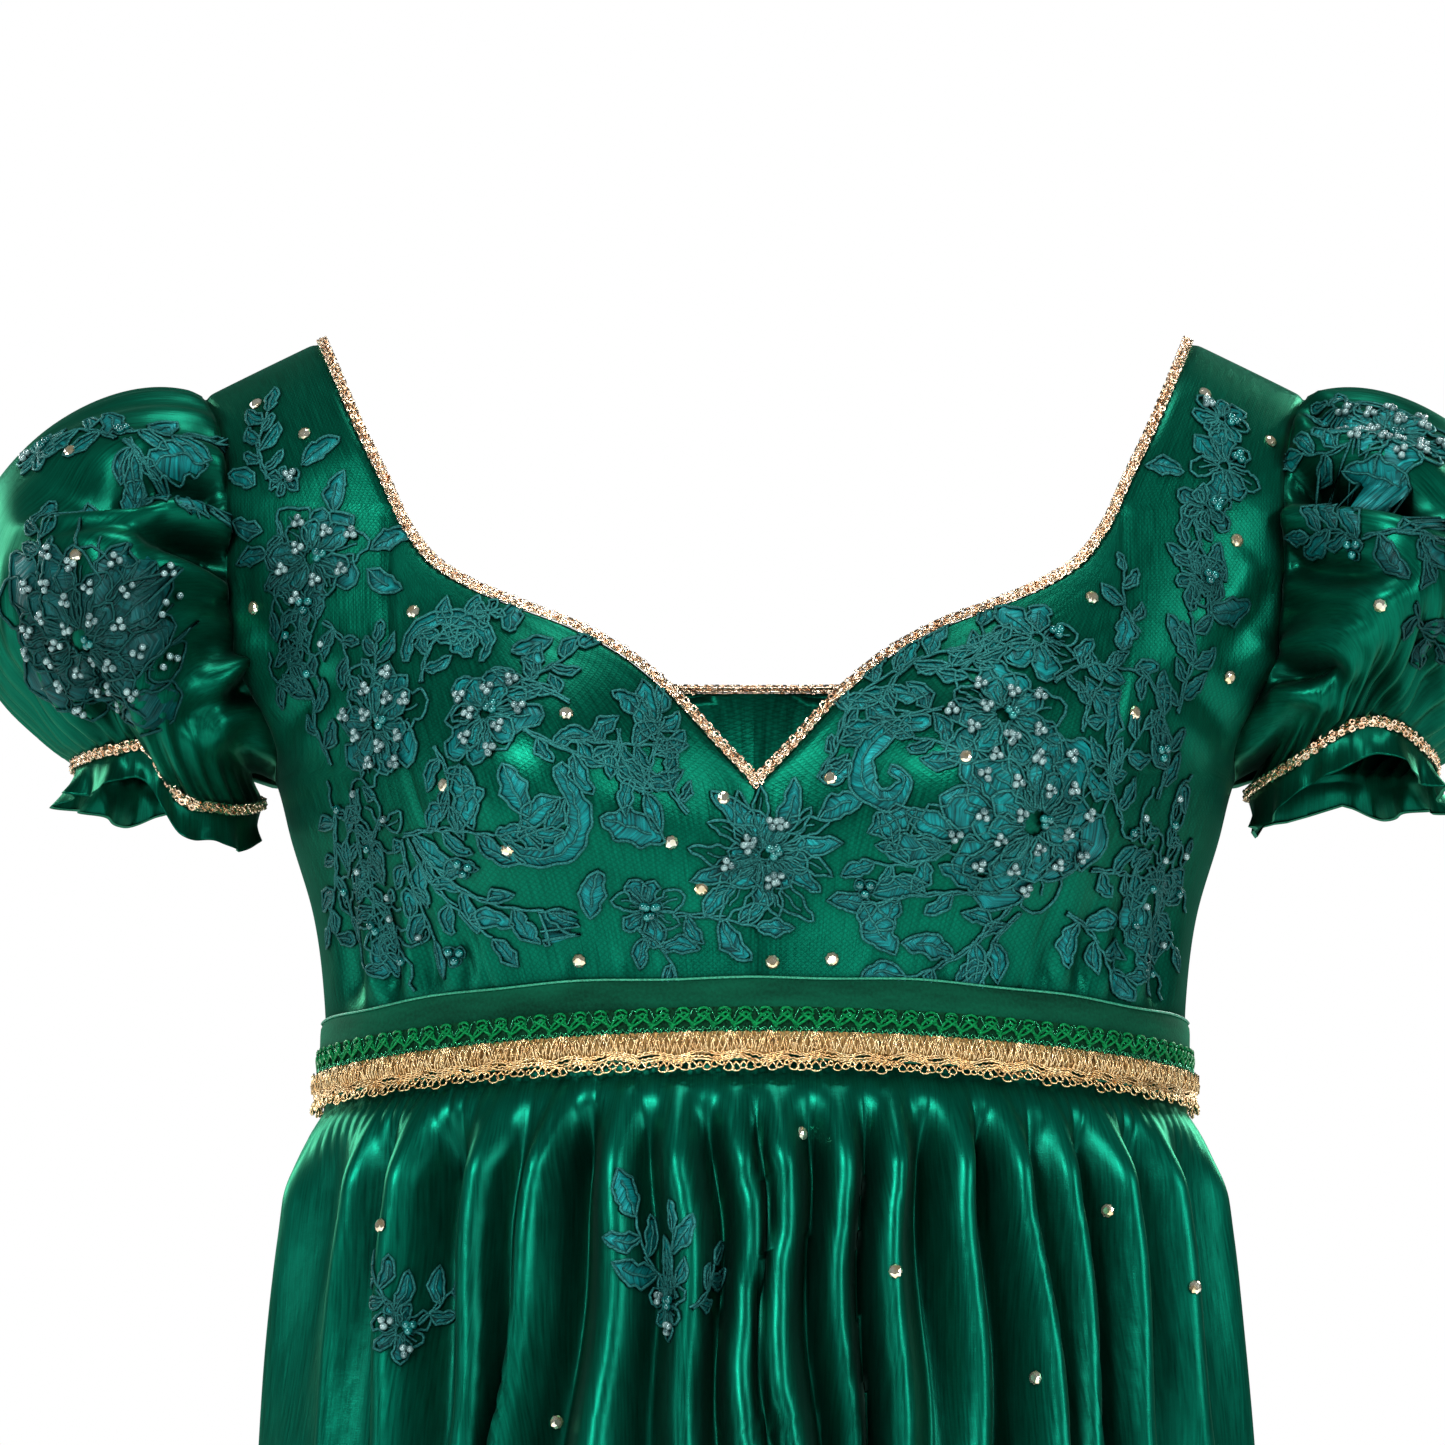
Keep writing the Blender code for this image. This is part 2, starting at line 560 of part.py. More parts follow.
def armhole_ring():
    """Inner and outer points just off the armhole's edge, from the shoulder down the front and up the back."""
    *_, front, _ = front_rows()
    _, back = row_ends(NECK_BACK, ARMHOLE_BACK, UPPER_BACK_ROWS)
    first = len(LOWER_ROWS) - 1
    turn = np.concatenate([front[0][first:][::-1], back[0][first + 1:-1]])
    climb = np.concatenate([front[1][first:][::-1], math.pi - back[1][first + 1:-1]])
    points, normals = form_point(turn, climb), form_outward(turn, climb)
    tangent = np.roll(points, -1, axis=0) - np.roll(points, 1, axis=0)
    points = points + unit(np.cross(normals, tangent)) * SEAM_GAP
    total = SLEEVE_GATHERS * POINTS_PER_SLEEVE_GATHER
    count = len(points)
    spare = total - count * (total // count)
    lengths = np.linalg.norm(np.roll(points, -1, axis=0) - points, axis=1)
    longest = np.argsort(-lengths)[:spare]
    pair = []
    for grid in (points, points + normals * SLEEVE_CLOTH):
        ring = []
        for i in range(count):
            pieces = total // count + (i in longest)
            step = (grid[(i + 1) % count] - grid[i]) / pieces
            ring += [grid[i] + step * k for k in range(pieces)]
        pair.append(np.array(ring))
    return pair


def puff_turns(ring):
    """The turn round the arm of each armhole point: 0 at the shoulder, a half at the underarm."""
    closed = np.concatenate([ring, ring[:1]])
    run = np.concatenate([[0.0], np.cumsum(np.linalg.norm(np.diff(closed, axis=0), axis=1))])
    lowest = int(np.argmin(ring[:, 2]))
    return np.interp(run[:-1], (0.0, run[lowest], run[-1]), (0.0, 0.5, 1.0))


def sleeve_rows(ring):
    """Smooth inside points of the sleeve, from the armhole's edge to the ruffle's, and the gathers on each row."""
    turn = puff_turns(ring)
    angle = 2 * math.pi * turn
    round_arm = np.stack(
        [CUFF_HALF_WIDTH * np.cos(angle), -CUFF_HALF_DEPTH * np.sin(angle), CUFF_TILT * np.cos(angle)], axis=-1
    )
    cuff = np.array(CUFF_CENTRE) + round_arm
    leave, back_in = (
        np.stack(
            [column(PUFF, kind + "_out", turn), -column(PUFF, kind + "_front", turn), column(PUFF, kind + "_up", turn)],
            axis=-1,
        )
        for kind in ("leave", "return")
    )
    fullness = column(PUFF, "fullness", turn)
    wave = np.cos(SLEEVE_GATHERS * 2 * math.pi * np.arange(len(ring)) / len(ring))
    uneven = 0.8 + 0.4 * np.sin(5 * angle + 1.0)
    rows, gathers = [], []
    for row in SLEEVE_ROWS:
        t = row.share
        rows.append(
            ring * (1 - t) ** 3 + (ring + leave) * 3 * t * (1 - t) ** 2
            + (cuff + back_in) * 3 * t**2 * (1 - t) + cuff * t**3
        )
        gathers.append(row.gather * wave * fullness * uneven)
    away = unit(round_arm * np.array((1.0, 1.0, 0.0)))
    spread = 0.55 + 0.45 * np.cos(angle)
    for reach in (0.0, 1.0):
        flare = reach * spread * (RUFFLE_FLARE + RUFFLE_WAVE * wave)
        drop = ELASTIC_BAND + RUFFLE_DROP * reach
        rows.append(cuff - np.array((0.0, 0.0, drop)) + away * flare[:, None])
        gathers.append(gathers[-1] * (1 - reach))
    return np.array(rows), np.array(gathers)[..., None]


def ring_outward(grid):
    """Unit normals of a ring of rows, from the points beside each."""
    along = np.roll(grid, -1, axis=1) - np.roll(grid, 1, axis=1)
    return unit(np.cross(along, np.gradient(grid, axis=0)))


def build_sleeves(satin, gold, lace):
    inner_ring, outer_ring = armhole_ring()
    smooth, gathers = sleeve_rows(inner_ring)
    inner = smooth + ring_outward(smooth) * gathers
    normal = ring_outward(inner)
    outer = inner + normal * SLEEVE_CLOTH
    outer[0] = outer_ring
    both_sides("sleeve", inner, outer, satin, ring=True)
    lace_over("sleeve_lace_left", outer, normal, SLEEVE_LACE_LEFT_ROW, SLEEVE_LACE_LEFT, lace)
    lace_over(
        "sleeve_lace_right", mirrored(outer), mirrored(normal), SLEEVE_LACE_RIGHT_ROW, SLEEVE_LACE_RIGHT, lace
    )
    elastic = len(SLEEVE_ROWS) - 1
    band = (outer[elastic] + outer[elastic + 1])[::2] / 2
    away = unit((band - np.array(CUFF_CENTRE)) * np.array((1.0, 1.0, 0.0)))
    line = band + away * (BRAID_RADIUS + 3 * TRIM_GAP)
    both_sides("cuff_braid", *braid_walls(line, away, np.array((0.0, 0.0, 1.0))), gold, ring=True)


def braid_walls(line, away, along_cloth):
    """The near and far walls of a braid of square section round a line."""
    half = BRAID_RADIUS
    near = np.array([line - away * half + along_cloth * half * k for k in (-1, 1)])
    far = np.array([line + away * half + along_cloth * half * k for k in (-1, 1)])
    return near, far


def build_neck_braid(gold):
    """The gold braid just off the neckline, from the centre back round the front to the centre back."""
    front = front_rows()[0]
    back = row_ends(NECK_BACK, ARMHOLE_BACK, UPPER_BACK_ROWS)[0]
    first = len(LOWER_ROWS) - 1
    turn = np.concatenate([front[0][first:], back[0][first:-1][::-1]])
    climb = np.concatenate([front[1][first:], math.pi - back[1][first:-1][::-1]])
    line, normal = form_point(turn, climb), form_outward(turn, climb)
    normal[0] = (0.0, -1.0, 0.0)
    away = unit(np.cross(normal, np.gradient(line, axis=0)))
    reach = np.full((len(line), 1), BRAID_RADIUS + SEAM_GAP)
    away[0] = (0.0, 0.0, 1.0)
    reach[0] *= 1.45
    mid = line + normal * BODICE_CLOTH / 2 + away * reach
    mid[-1, 0] = SEAM_GAP
    loop, loop_normal, loop_away = (
        np.concatenate([mirrored(part[:0:-1]), part]) for part in (mid, normal, away)
    )
    cloth_solid("neck_braid", *braid_walls(loop, loop_normal, loop_away), gold)


# Lace flowers on the smooth bodice


def build_flower(flower, lace):
    """A lobed plate laid on the bodice front and moved out from it."""
    points = flower.petals * POINTS_PER_PETAL
    steps = math.ceil(flower.radius / FLOWER_RING_STEP)
    angle = np.linspace(0, 2 * math.pi, points, endpoint=False)
    lobes = 1 - flower.notch * (0.5 + 0.5 * np.cos(flower.petals * angle))
    rings = [np.zeros((1, 2))]
    for share in np.arange(1, steps + 1) / steps:
        reach = flower.radius * share * (lobes * share + 1 - share)
        rings.append(np.stack([reach * np.cos(angle + flower.start), reach * np.sin(angle + flower.start)], axis=-1))
    flat = np.concatenate(rings) + np.array((flower.across, flower.height))
    turn, climb = form_place(np.abs(flat[:, 0]), flat[:, 1])
    way = np.where(flat[:, :1] < 0, np.array((-1.0, 1.0, 1.0)), 1.0)
    normal = form_outward(turn, climb) * way
    base = form_point(turn, climb) * way + normal * (BODICE_CLOTH + LACE_CLEAR)
    faces = []
    for side in (0, 1):
        start = side * len(flat)
        for c in range(points):
            d = (c + 1) % points
            faces.append((start, start + 1 + c, start + 1 + d))
            for ring in range(steps - 1):
                near_c, near_d = (start + 1 + ring * points + k for k in (c, d))
                faces += [(near_c, near_c + points, near_d + points), (near_c, near_d + points, near_d)]
    for c in range(points):
        a, b = (1 + (steps - 1) * points + k for k in (c, (c + 1) % points))
        faces.append((a, b, b + len(flat), a + len(flat)))
    solid_from(flower.name, np.concatenate([base, base + normal * LACE_THICK]), faces, lace)


clear_scene()
satin_material = make_material("satin", SATIN)
gold_material = make_material("gold_braid", GOLD)
gimp_material = make_material("gimp", GIMP_GREEN)
velvet_material = make_material("velvet", VELVET)
lace_material = make_material("lace", LACE)
build_bodice(satin_material)
ribbon_outside = build_waist_trim("waist_ribbon", RIBBON, BODICE_CLOTH + TRIM_GAP, velvet_material)
build_waist_trim("waist_gimp", GIMP, ribbon_outside + TRIM_GAP, gimp_material)
build_waist_trim("waist_gold_lace", GOLD_LACE, ribbon_outside + TRIM_GAP, gold_material)
build_skirt(satin_material, lace_material)
build_sleeves(satin_material, gold_material, lace_material)
build_neck_braid(gold_material)
for each_flower in FLOWERS:
    build_flower(each_flower, lace_material)
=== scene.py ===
# A high-waisted Regency gown of emerald satin in its worn, hollow form, with corded lace and metal-thread trims.
# Metres, +Z up. The front faces -Y and the wearer's left is +X.
import math
from collections import namedtuple

import bpy
import numpy as np
from mathutils import Matrix, Vector
from mathutils.bvhtree import BVHTree


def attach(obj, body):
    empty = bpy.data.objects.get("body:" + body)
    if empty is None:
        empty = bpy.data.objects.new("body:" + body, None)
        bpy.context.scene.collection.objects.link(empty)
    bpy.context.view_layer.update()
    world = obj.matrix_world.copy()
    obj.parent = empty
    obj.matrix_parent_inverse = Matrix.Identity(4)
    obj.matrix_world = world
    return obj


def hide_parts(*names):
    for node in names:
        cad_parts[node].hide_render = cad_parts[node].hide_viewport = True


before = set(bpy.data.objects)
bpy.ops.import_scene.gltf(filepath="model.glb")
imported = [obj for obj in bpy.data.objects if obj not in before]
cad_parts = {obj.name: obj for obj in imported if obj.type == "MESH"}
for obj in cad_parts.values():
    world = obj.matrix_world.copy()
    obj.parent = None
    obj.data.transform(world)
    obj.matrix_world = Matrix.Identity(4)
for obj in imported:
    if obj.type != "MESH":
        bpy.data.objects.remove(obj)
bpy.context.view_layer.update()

# Bodice.
# Six panels of emerald satin backed with a fine net, seamed down the centre front and over each bust and
# closed down the centre back. The bust seams shape the cups, and the band below draws small gathers under them.


def table(columns, rows, plain=""):
    """Rows with named columns. Lengths are written in millimetres and kept in metres, but for the plain columns."""
    row_of = namedtuple("row_of", columns)
    kept = plain.split()
    return [row_of(*[v if c in kept else v / 1000 for c, v in zip(row_of._fields, row)]) for row in rows]


QUARTER = math.pi / 2
BODICE_CLOTH = 0.0016
WAIST_SEAM_HEIGHT = -0.249
WAIST_ARCH = 0.009
WAIST_ARCH_FADES = (-0.205, -0.150)
UNDERARM_HEIGHT = -0.140
SHOULDER_SLOPE = 0.48
SHOULDER_ROUND = 0.058
SHOULDER_WIDTH = 0.194
FORM = table("height half_width front_depth back_depth squareness", (
    (-262, 143, 97, 90, 2.2), (-249, 143, 97.5, 90, 2.2), (-214, 143.5, 99, 90, 2.2),
    (-185, 147.5, 99, 93, 2.2), (-160, 155, 98, 97, 2.3), (-140, 160.5, 97, 99, 2.5),
    (-125, 168, 95, 100, 2.65), (-105, 181, 91, 100, 2.8), (-60, 194, 80, 92, 3.0), (-20, 194, 70, 80, 3.0),
    (30, 194, 64, 72, 3.0),
), "squareness")
CUP_OUT = 0.037
CUP_CENTRE = (0.081, -0.157)
CUP_HALF_WIDTH, CUP_ABOVE, CUP_BELOW = 0.053, 0.056, 0.041
NECK_FRONT = table("across height", (
    (0, -152), (13, -139), (26, -125), (42, -111), (59, -101), (77, -93.5), (93, -86), (106, -77), (115, -65),
    (123, -48), (132, -29), (140, -10), (148, 9),
))
NECK_BACK = table("across height", (
    (0, -98), (40, -97), (78, -90), (108, -74), (127, -48), (138, -20), (148, 9),
))
NECK_POINT = NECK_FRONT[-1]
ARMHOLE_FRONT = table("across height", (
    (160.5, -140), (159, -136), (160, -127), (165, -116), (171, -103), (174.5, -85), (175, -60), (177, -36),
    (182, -18), (187, -9.7),
))
ARMHOLE_BACK = table("across height", (
    (160.5, -140), (157.5, -136), (157, -127), (160, -116), (165, -100), (169, -82), (172, -60), (176, -36),
    (182, -18), (187, -9.7),
))
BUST_SEAM = table("height across", (
    (-249, 83), (-214, 86), (-185, 97), (-155, 109), (-125, 117), (-95, 120), (-52, 121),
))
BUST_SEAM_TOP = 0.685
SEAM_DIP_WIDTH = 0.0019
TURNED_IN = 0.0012
RIBBON_COVERS = (-0.2236, -0.2120)

# Creases in cloth, as a line from its root to its tip seen from the front (side -1) or the back (side 1):
# a trough where depth is above 0, and a ridge where it is below 0
CREASE = "side across height to_across to_height width depth bend"
BODICE_CREASES = table(CREASE, (
    (-1, 104, -222, 116, -172, 3.4, 3, 2), (-1, 117, -222, 128, -165, 4, 4.2, 3),
    (-1, 130, -222, 139, -160, 3.8, 3.4, 2), (-1, 92, -222, 98, -190, 2.8, 2.2, 1),
    (-1, 60, -222, 62, -198, 3, 1.6, 1), (-1, 34, -221, 44, -196, 3.4, 1.4, -2),
    (-1, 112, -222, 118, -196, 2.2, -2.2, 0), (-1, 171, -78, 146, -108, 5, 2.2, 4),
    (-1, 170, -98, 140, -140, 7, -2, 6), (-1, 156, -130, 128, -110, 5, 1.8, -3),
    (1, 20, -222, 24, -180, 4, 1.8, 2), (1, 58, -222, 66, -176, 3.6, 2.4, 2),
    (1, 86, -222, 98, -165, 4.2, 2.8, 4), (1, 112, -222, 124, -172, 3.6, 2.2, 2),
    (1, 168, -92, 120, -118, 6, 2.6, 6), (1, 160, -128, 108, -140, 6, 2.2, -4),
), "side")


def curve_through(knots, values, at):
    """A smooth curve through the knots, read at the places given."""
    knots = np.asarray(knots, float)
    values = np.asarray(values, float)
    at = np.clip(np.asarray(at, float), knots[0], knots[-1])
    slopes = np.gradient(values, knots)
    low = np.clip(np.searchsorted(knots, at, side="right") - 1, 0, len(knots) - 2)
    span = knots[low + 1] - knots[low]
    t = (at - knots[low]) / span
    rise = 3 * t**2 - 2 * t**3
    between = values[low] * (1 - rise) + values[low + 1] * rise
    return between + (slopes[low] * (t**3 - 2 * t**2 + t) + slopes[low + 1] * (t**3 - t**2)) * span


def column(table, name, at):
    """A named column of a table of sections, read as a smooth curve of its first column."""
    return curve_through([row[0] for row in table], [getattr(row, name) for row in table], at)


def run_along(line):
    """Metres run along a line of points, at each of them."""
    return np.concatenate([[0.0], np.cumsum(np.linalg.norm(np.diff(line, axis=0), axis=-1))])


def along_edge(points, share):
    points = np.asarray(points, float)
    length = run_along(points)
    at = np.asarray(share, float) * length[-1]
    return np.stack([curve_through(length, points[:, k], at) for k in (0, 1)], axis=-1)


def signed_power(value, power):
    return np.sign(value) * np.abs(value) ** power


def unit(vectors):
    return vectors / np.maximum(np.linalg.norm(vectors, axis=-1, keepdims=True), 1e-12)


def smooth(value, low, high):
    """0 below low, 1 above high, and an even rise between them."""
    t = np.clip((np.asarray(value, float) - low) / (high - low), 0, 1)
    return 3 * t**2 - 2 * t**3


def mirrored(points):
    return points * np.array((-1.0, 1.0, 1.0))


def shoulder_line(turn):
    across = SHOULDER_WIDTH * signed_power(np.sin(turn * QUARTER), 2 / 3)
    return NECK_POINT[1] - SHOULDER_SLOPE * (np.abs(across) - NECK_POINT[0])


def waist_rise(turn, height):
    return WAIST_ARCH * np.cos(turn * QUARTER) ** 2 * (1 - smooth(height, *WAIST_ARCH_FADES))


def form_point(turn, climb):
    """The inside of the bodice. Turn is 0 at the centre and 1 at the side; climb is below 0 up the front,
    0 to pi over the shoulder and above pi down the back."""
    turn, climb = np.broadcast_arrays(np.asarray(turn, float), np.asarray(climb, float))
    past_back = climb > math.pi
    below = np.where(climb < 0, 1 - climb, np.where(past_back, 1 + climb - math.pi, 1 - np.sin(climb)))
    toward_front = np.where(climb < 0, 1.0, np.where(past_back, -1.0, np.cos(climb)))
    height = shoulder_line(turn) - SHOULDER_ROUND * below
    power = 2 / column(FORM, "squareness", height)
    across = column(FORM, "half_width", height) * signed_power(np.sin(turn * QUARTER), power)
    reach = signed_power(np.cos(turn * QUARTER), power)
    tall = np.where(height > CUP_CENTRE[1], CUP_ABOVE, CUP_BELOW)
    beside = ((np.abs(across) - CUP_CENTRE[0]) / CUP_HALF_WIDTH) ** 2 + ((height - CUP_CENTRE[1]) / tall) ** 2
    cup = CUP_OUT * np.exp(-beside) * (toward_front > 0.5)
    front, back = column(FORM, "front_depth", height), column(FORM, "back_depth", height)
    depth = np.where(toward_front >= 0, front, back) * toward_front + cup
    rise = np.where(toward_front > 0, waist_rise(turn, height), 0.0)
    return np.stack([across, -depth * reach, height + rise], axis=-1)


def outward(surface, u, v, step_u, step_v):
    along_u = surface(u + step_u, v) - surface(u - step_u, v)
    along_v = surface(u, v + step_v) - surface(u, v - step_v)
    return unit(np.cross(along_u, along_v))


def form_outward(turn, climb):
    return outward(form_point, turn, climb, 0.004, 0.02)


def front_climb(turn, height):
    below = (shoulder_line(turn) - height) / SHOULDER_ROUND
    return np.where(below > 1, 1 - below, np.arcsin(np.clip(1 - below, -1, 1)))


def form_place(across, height):
    """Turn and front climb of a point that is given by how far across and how high it lies."""
    across, height = np.asarray(across, float), np.asarray(height, float)
    level = height
    for _ in range(4):
        half_width = column(FORM, "half_width", level)
        squareness = column(FORM, "squareness", level)
        turn = np.arcsin(np.clip(across / half_width, 0, 1) ** (squareness / 2)) / QUARTER
        level = height - waist_rise(turn, level)
    return turn, front_climb(turn, level)


def row_ends(neck, armhole, lower, upper):
    """Turn and climb at both ends of each row of half a bodice, from the waist seam up to the shoulder."""
    centre_heights = WAIST_SEAM_HEIGHT * (1 - lower) + neck[0][1] * lower
    side_heights = WAIST_SEAM_HEIGHT * (1 - lower) + UNDERARM_HEIGHT * lower
    ends = []
    for turn_below, heights, edge in ((0, centre_heights, neck), (1, side_heights, armhole)):
        place = along_edge(edge, upper)
        turn, climb = form_place(place[:, 0], place[:, 1])
        climb[-1] = QUARTER
        ends.append((
            np.concatenate([0 * lower + turn_below, turn]),
            np.concatenate([front_climb(turn_below, heights), climb]),
        ))
    return ends


def across_row(start, end, share):
    """Turn and climb between the ends of rows: level on the body, and along the climb up on the shoulder."""
    turn = start[0] * (1 - share) + end[0] * share
    heights = [shoulder_line(t) - SHOULDER_ROUND * np.where(c < 0, 1 - c, 1 - np.sin(c)) for t, c in (start, end)]
    level = front_climb(turn, heights[0] * (1 - share) + heights[1] * share)
    straight = start[1] * (1 - share) + end[1] * share
    on_shoulder = np.clip(start[1] / 0.9, 0, 1)
    return turn, level * (1 - on_shoulder) + straight * on_shoulder


def crease_height(points, normals, creases):
    """How far the creases lift or sink each point."""
    lift = np.zeros(points.shape[:-1])
    for c in creases:
        run = np.array((c.to_across - c.across, c.to_height - c.height))
        length = math.hypot(*run)
        beside, above = points[..., 0] - c.across, points[..., 2] - c.height
        along = (beside * run[0] + above * run[1]) / length**2
        off = ((above * run[0] - beside * run[1]) / length - c.bend * 4 * along * (1 - along)) / c.width
        taper = smooth(along, -0.06, 0.10) * (1 - smooth(along, 0.35, 1.0))
        facing = np.clip(normals[..., 1] * c.side * 1.8, 0, 1)
        shoulders = 0.42 * (np.exp(-((off - 2.0) ** 2)) + np.exp(-((off + 2.0) ** 2)))
        lift -= c.depth * taper * facing * (np.exp(-(off**2)) - shoulders)
    return lift


def mesh_piece(name, points, faces, material, stands_for=(), uv=None, flat=False):
    """A piece that rides on the gown. Its uv holds the cloth's own measures, which lay the thread pattern."""
    mesh = bpy.data.meshes.new(name)
    mesh.from_pydata(np.asarray(points, float).reshape(-1, 3).tolist(), [], np.asarray(faces).tolist())
    if uv is not None:
        corners = np.zeros(len(mesh.loops), np.int32)
        mesh.loops.foreach_get("vertex_index", corners)
        layer = mesh.uv_layers.new(name="weave")
        layer.data.foreach_set("uv", np.asarray(uv, np.float32).reshape(-1, 2)[corners].ravel())
    mesh.polygons.foreach_set("use_smooth", [not flat] * len(mesh.polygons))
    mesh.materials.append(material)
    made = bpy.data.objects.new(name, mesh)
    bpy.context.scene.collection.objects.link(made)
    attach(made, "root")
    if stands_for:
        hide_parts(*stands_for)
    return made


def grid_faces(rows, columns, ring=False, first=0):
    """Quads over a grid of points, facing out where columns run to the wearer's left and rows run up."""
    r, c = np.meshgrid(np.arange(rows - 1), np.arange(columns if ring else columns - 1), indexing="ij")
    d = (c + 1) % columns
    corners = (r * columns + c, r * columns + d, (r + 1) * columns + d, (r + 1) * columns + c)
    return first + np.stack(corners, axis=-1).reshape(-1, 4)


def weave_measures(grid):
    """Metres across and along the cloth at each point of a grid."""
    across = np.linalg.norm(np.diff(grid, axis=1), axis=-1).mean(axis=0)
    along = np.linalg.norm(np.diff(grid, axis=0), axis=-1).mean(axis=1)
    u, v = (np.concatenate([[0.0], np.cumsum(steps)]) for steps in (across, along))
    return np.stack(np.meshgrid(u, v), axis=-1)


Sheet = namedtuple("Sheet", "made area cut")
sheets = {}


def grid_piece(name, grid, material, stands_for=(), flip=1, uv=None):
    """Cloth over a grid of points, kept with its area and flat size. Flip -1 lays it on the gown's right half."""
    uv = weave_measures(grid) if uv is None else uv
    faces = grid_faces(*grid.shape[:2])
    if flip < 0:
        grid, faces = mirrored(grid), faces[:, ::-1]
    made = mesh_piece(name, grid, faces, material, stands_for, uv)
    a, b = grid[1:, 1:] - grid[:-1, :-1], grid[1:, :-1] - grid[:-1, 1:]
    area = float(np.linalg.norm(np.cross(a, b), axis=-1).sum() / 2)
    sheets[name] = Sheet(made, area, [float(side) for side in uv[-1, -1]])
    return made


class Shader:
    """A material's node tree, with short calls for its nodes and links."""

    def __init__(self, name, **settings):
        self.material = bpy.data.materials.new(name)
        self.material.use_nodes = True
        self.nodes = self.material.node_tree.nodes
        self.links = self.material.node_tree.links
        self.base = self.nodes["Principled BSDF"]
        for socket, value in settings.items():
            self.base.inputs[socket.replace("_", " ")].default_value = value

    def add(self, kind, settings=None, **sockets):
        node = self.nodes.new("ShaderNode" + kind)
        for key, value in (settings or {}).items():
            setattr(node, key, value)
        for key, value in sockets.items():
            self.put(node.inputs[int(key[1:]) if key[1:].isdigit() else key.replace("_", " ")], value)
        return node

    def put(self, socket, value):
        if isinstance(value, bpy.types.NodeSocket):
            self.links.new(value, socket)
        else:
            socket.default_value = value

    def place(self, scale, kind="UV"):
        """The cloth's measures, or the object's, stretched by a scale for a texture."""
        coordinates = self.add("TexCoord").outputs[kind]
        return self.add("Mapping", Vector=coordinates, Scale=scale).outputs[0]

    def noise(self, scale, detail=3.0, rough=0.55, kind="UV", at=(1.0, 1.0, 1.0)):
        node = self.add("TexNoise", Vector=self.place(at, kind), Scale=scale, Detail=detail, Roughness=rough)
        return node.outputs["Fac"]

    def ramp(self, fac, *stops):
        node = self.add("ValToRGB", Fac=fac)
        for index, (place, colour) in enumerate(stops):
            stop = node.color_ramp.elements[index] if index < 2 else node.color_ramp.elements.new(place)
            stop.position = place
            stop.color = (*colour, 1.0) if len(colour) == 3 else colour
        return node.outputs["Color"]

    def maths(self, operation, a, b=0.0, clamp=False):
        return self.add("Math", {"operation": operation, "use_clamp": clamp}, _0=a, _1=b).outputs[0]

    def mix(self, share, a, b, blend="MIX"):
        node = self.add("Mix", {"data_type": "RGBA", "blend_type": blend}, _0=share, _6=a, _7=b)
        return node.outputs[2]

    def bump(self, height, distance, strength=1.0, under=None):
        node = self.add("Bump", Height=height, Distance=distance, Strength=strength)
        if under is not None:
            self.put(node.inputs["Normal"], under)
        return node.outputs[0]

    def openness(self, distance, power):
        """From 1 on open cloth down toward 0 in the bottom of a fold or close under a cord, used to paint shade into
        the colour.
        """
        shelter = self.add("AmbientOcclusion", {"samples": 3}, Distance=distance)
        return self.maths("POWER", shelter.outputs["AO"], power)

    def finish(self, **sockets):
        for key, value in sockets.items():
            self.put(self.base.inputs[key.replace("_", " ")], value)
        return self.material


def two_tone(name, grain, tones, bump=None, **settings):
    """A finish in two tones by a fine grain, which also roughens it where a bump is given."""
    shader = Shader(name, **settings)
    fac = shader.noise(*grain)
    normal = {} if bump is None else {"Normal": shader.bump(fac, *bump)}
    return shader.finish(Base_Color=shader.ramp(fac, *tones), **normal)


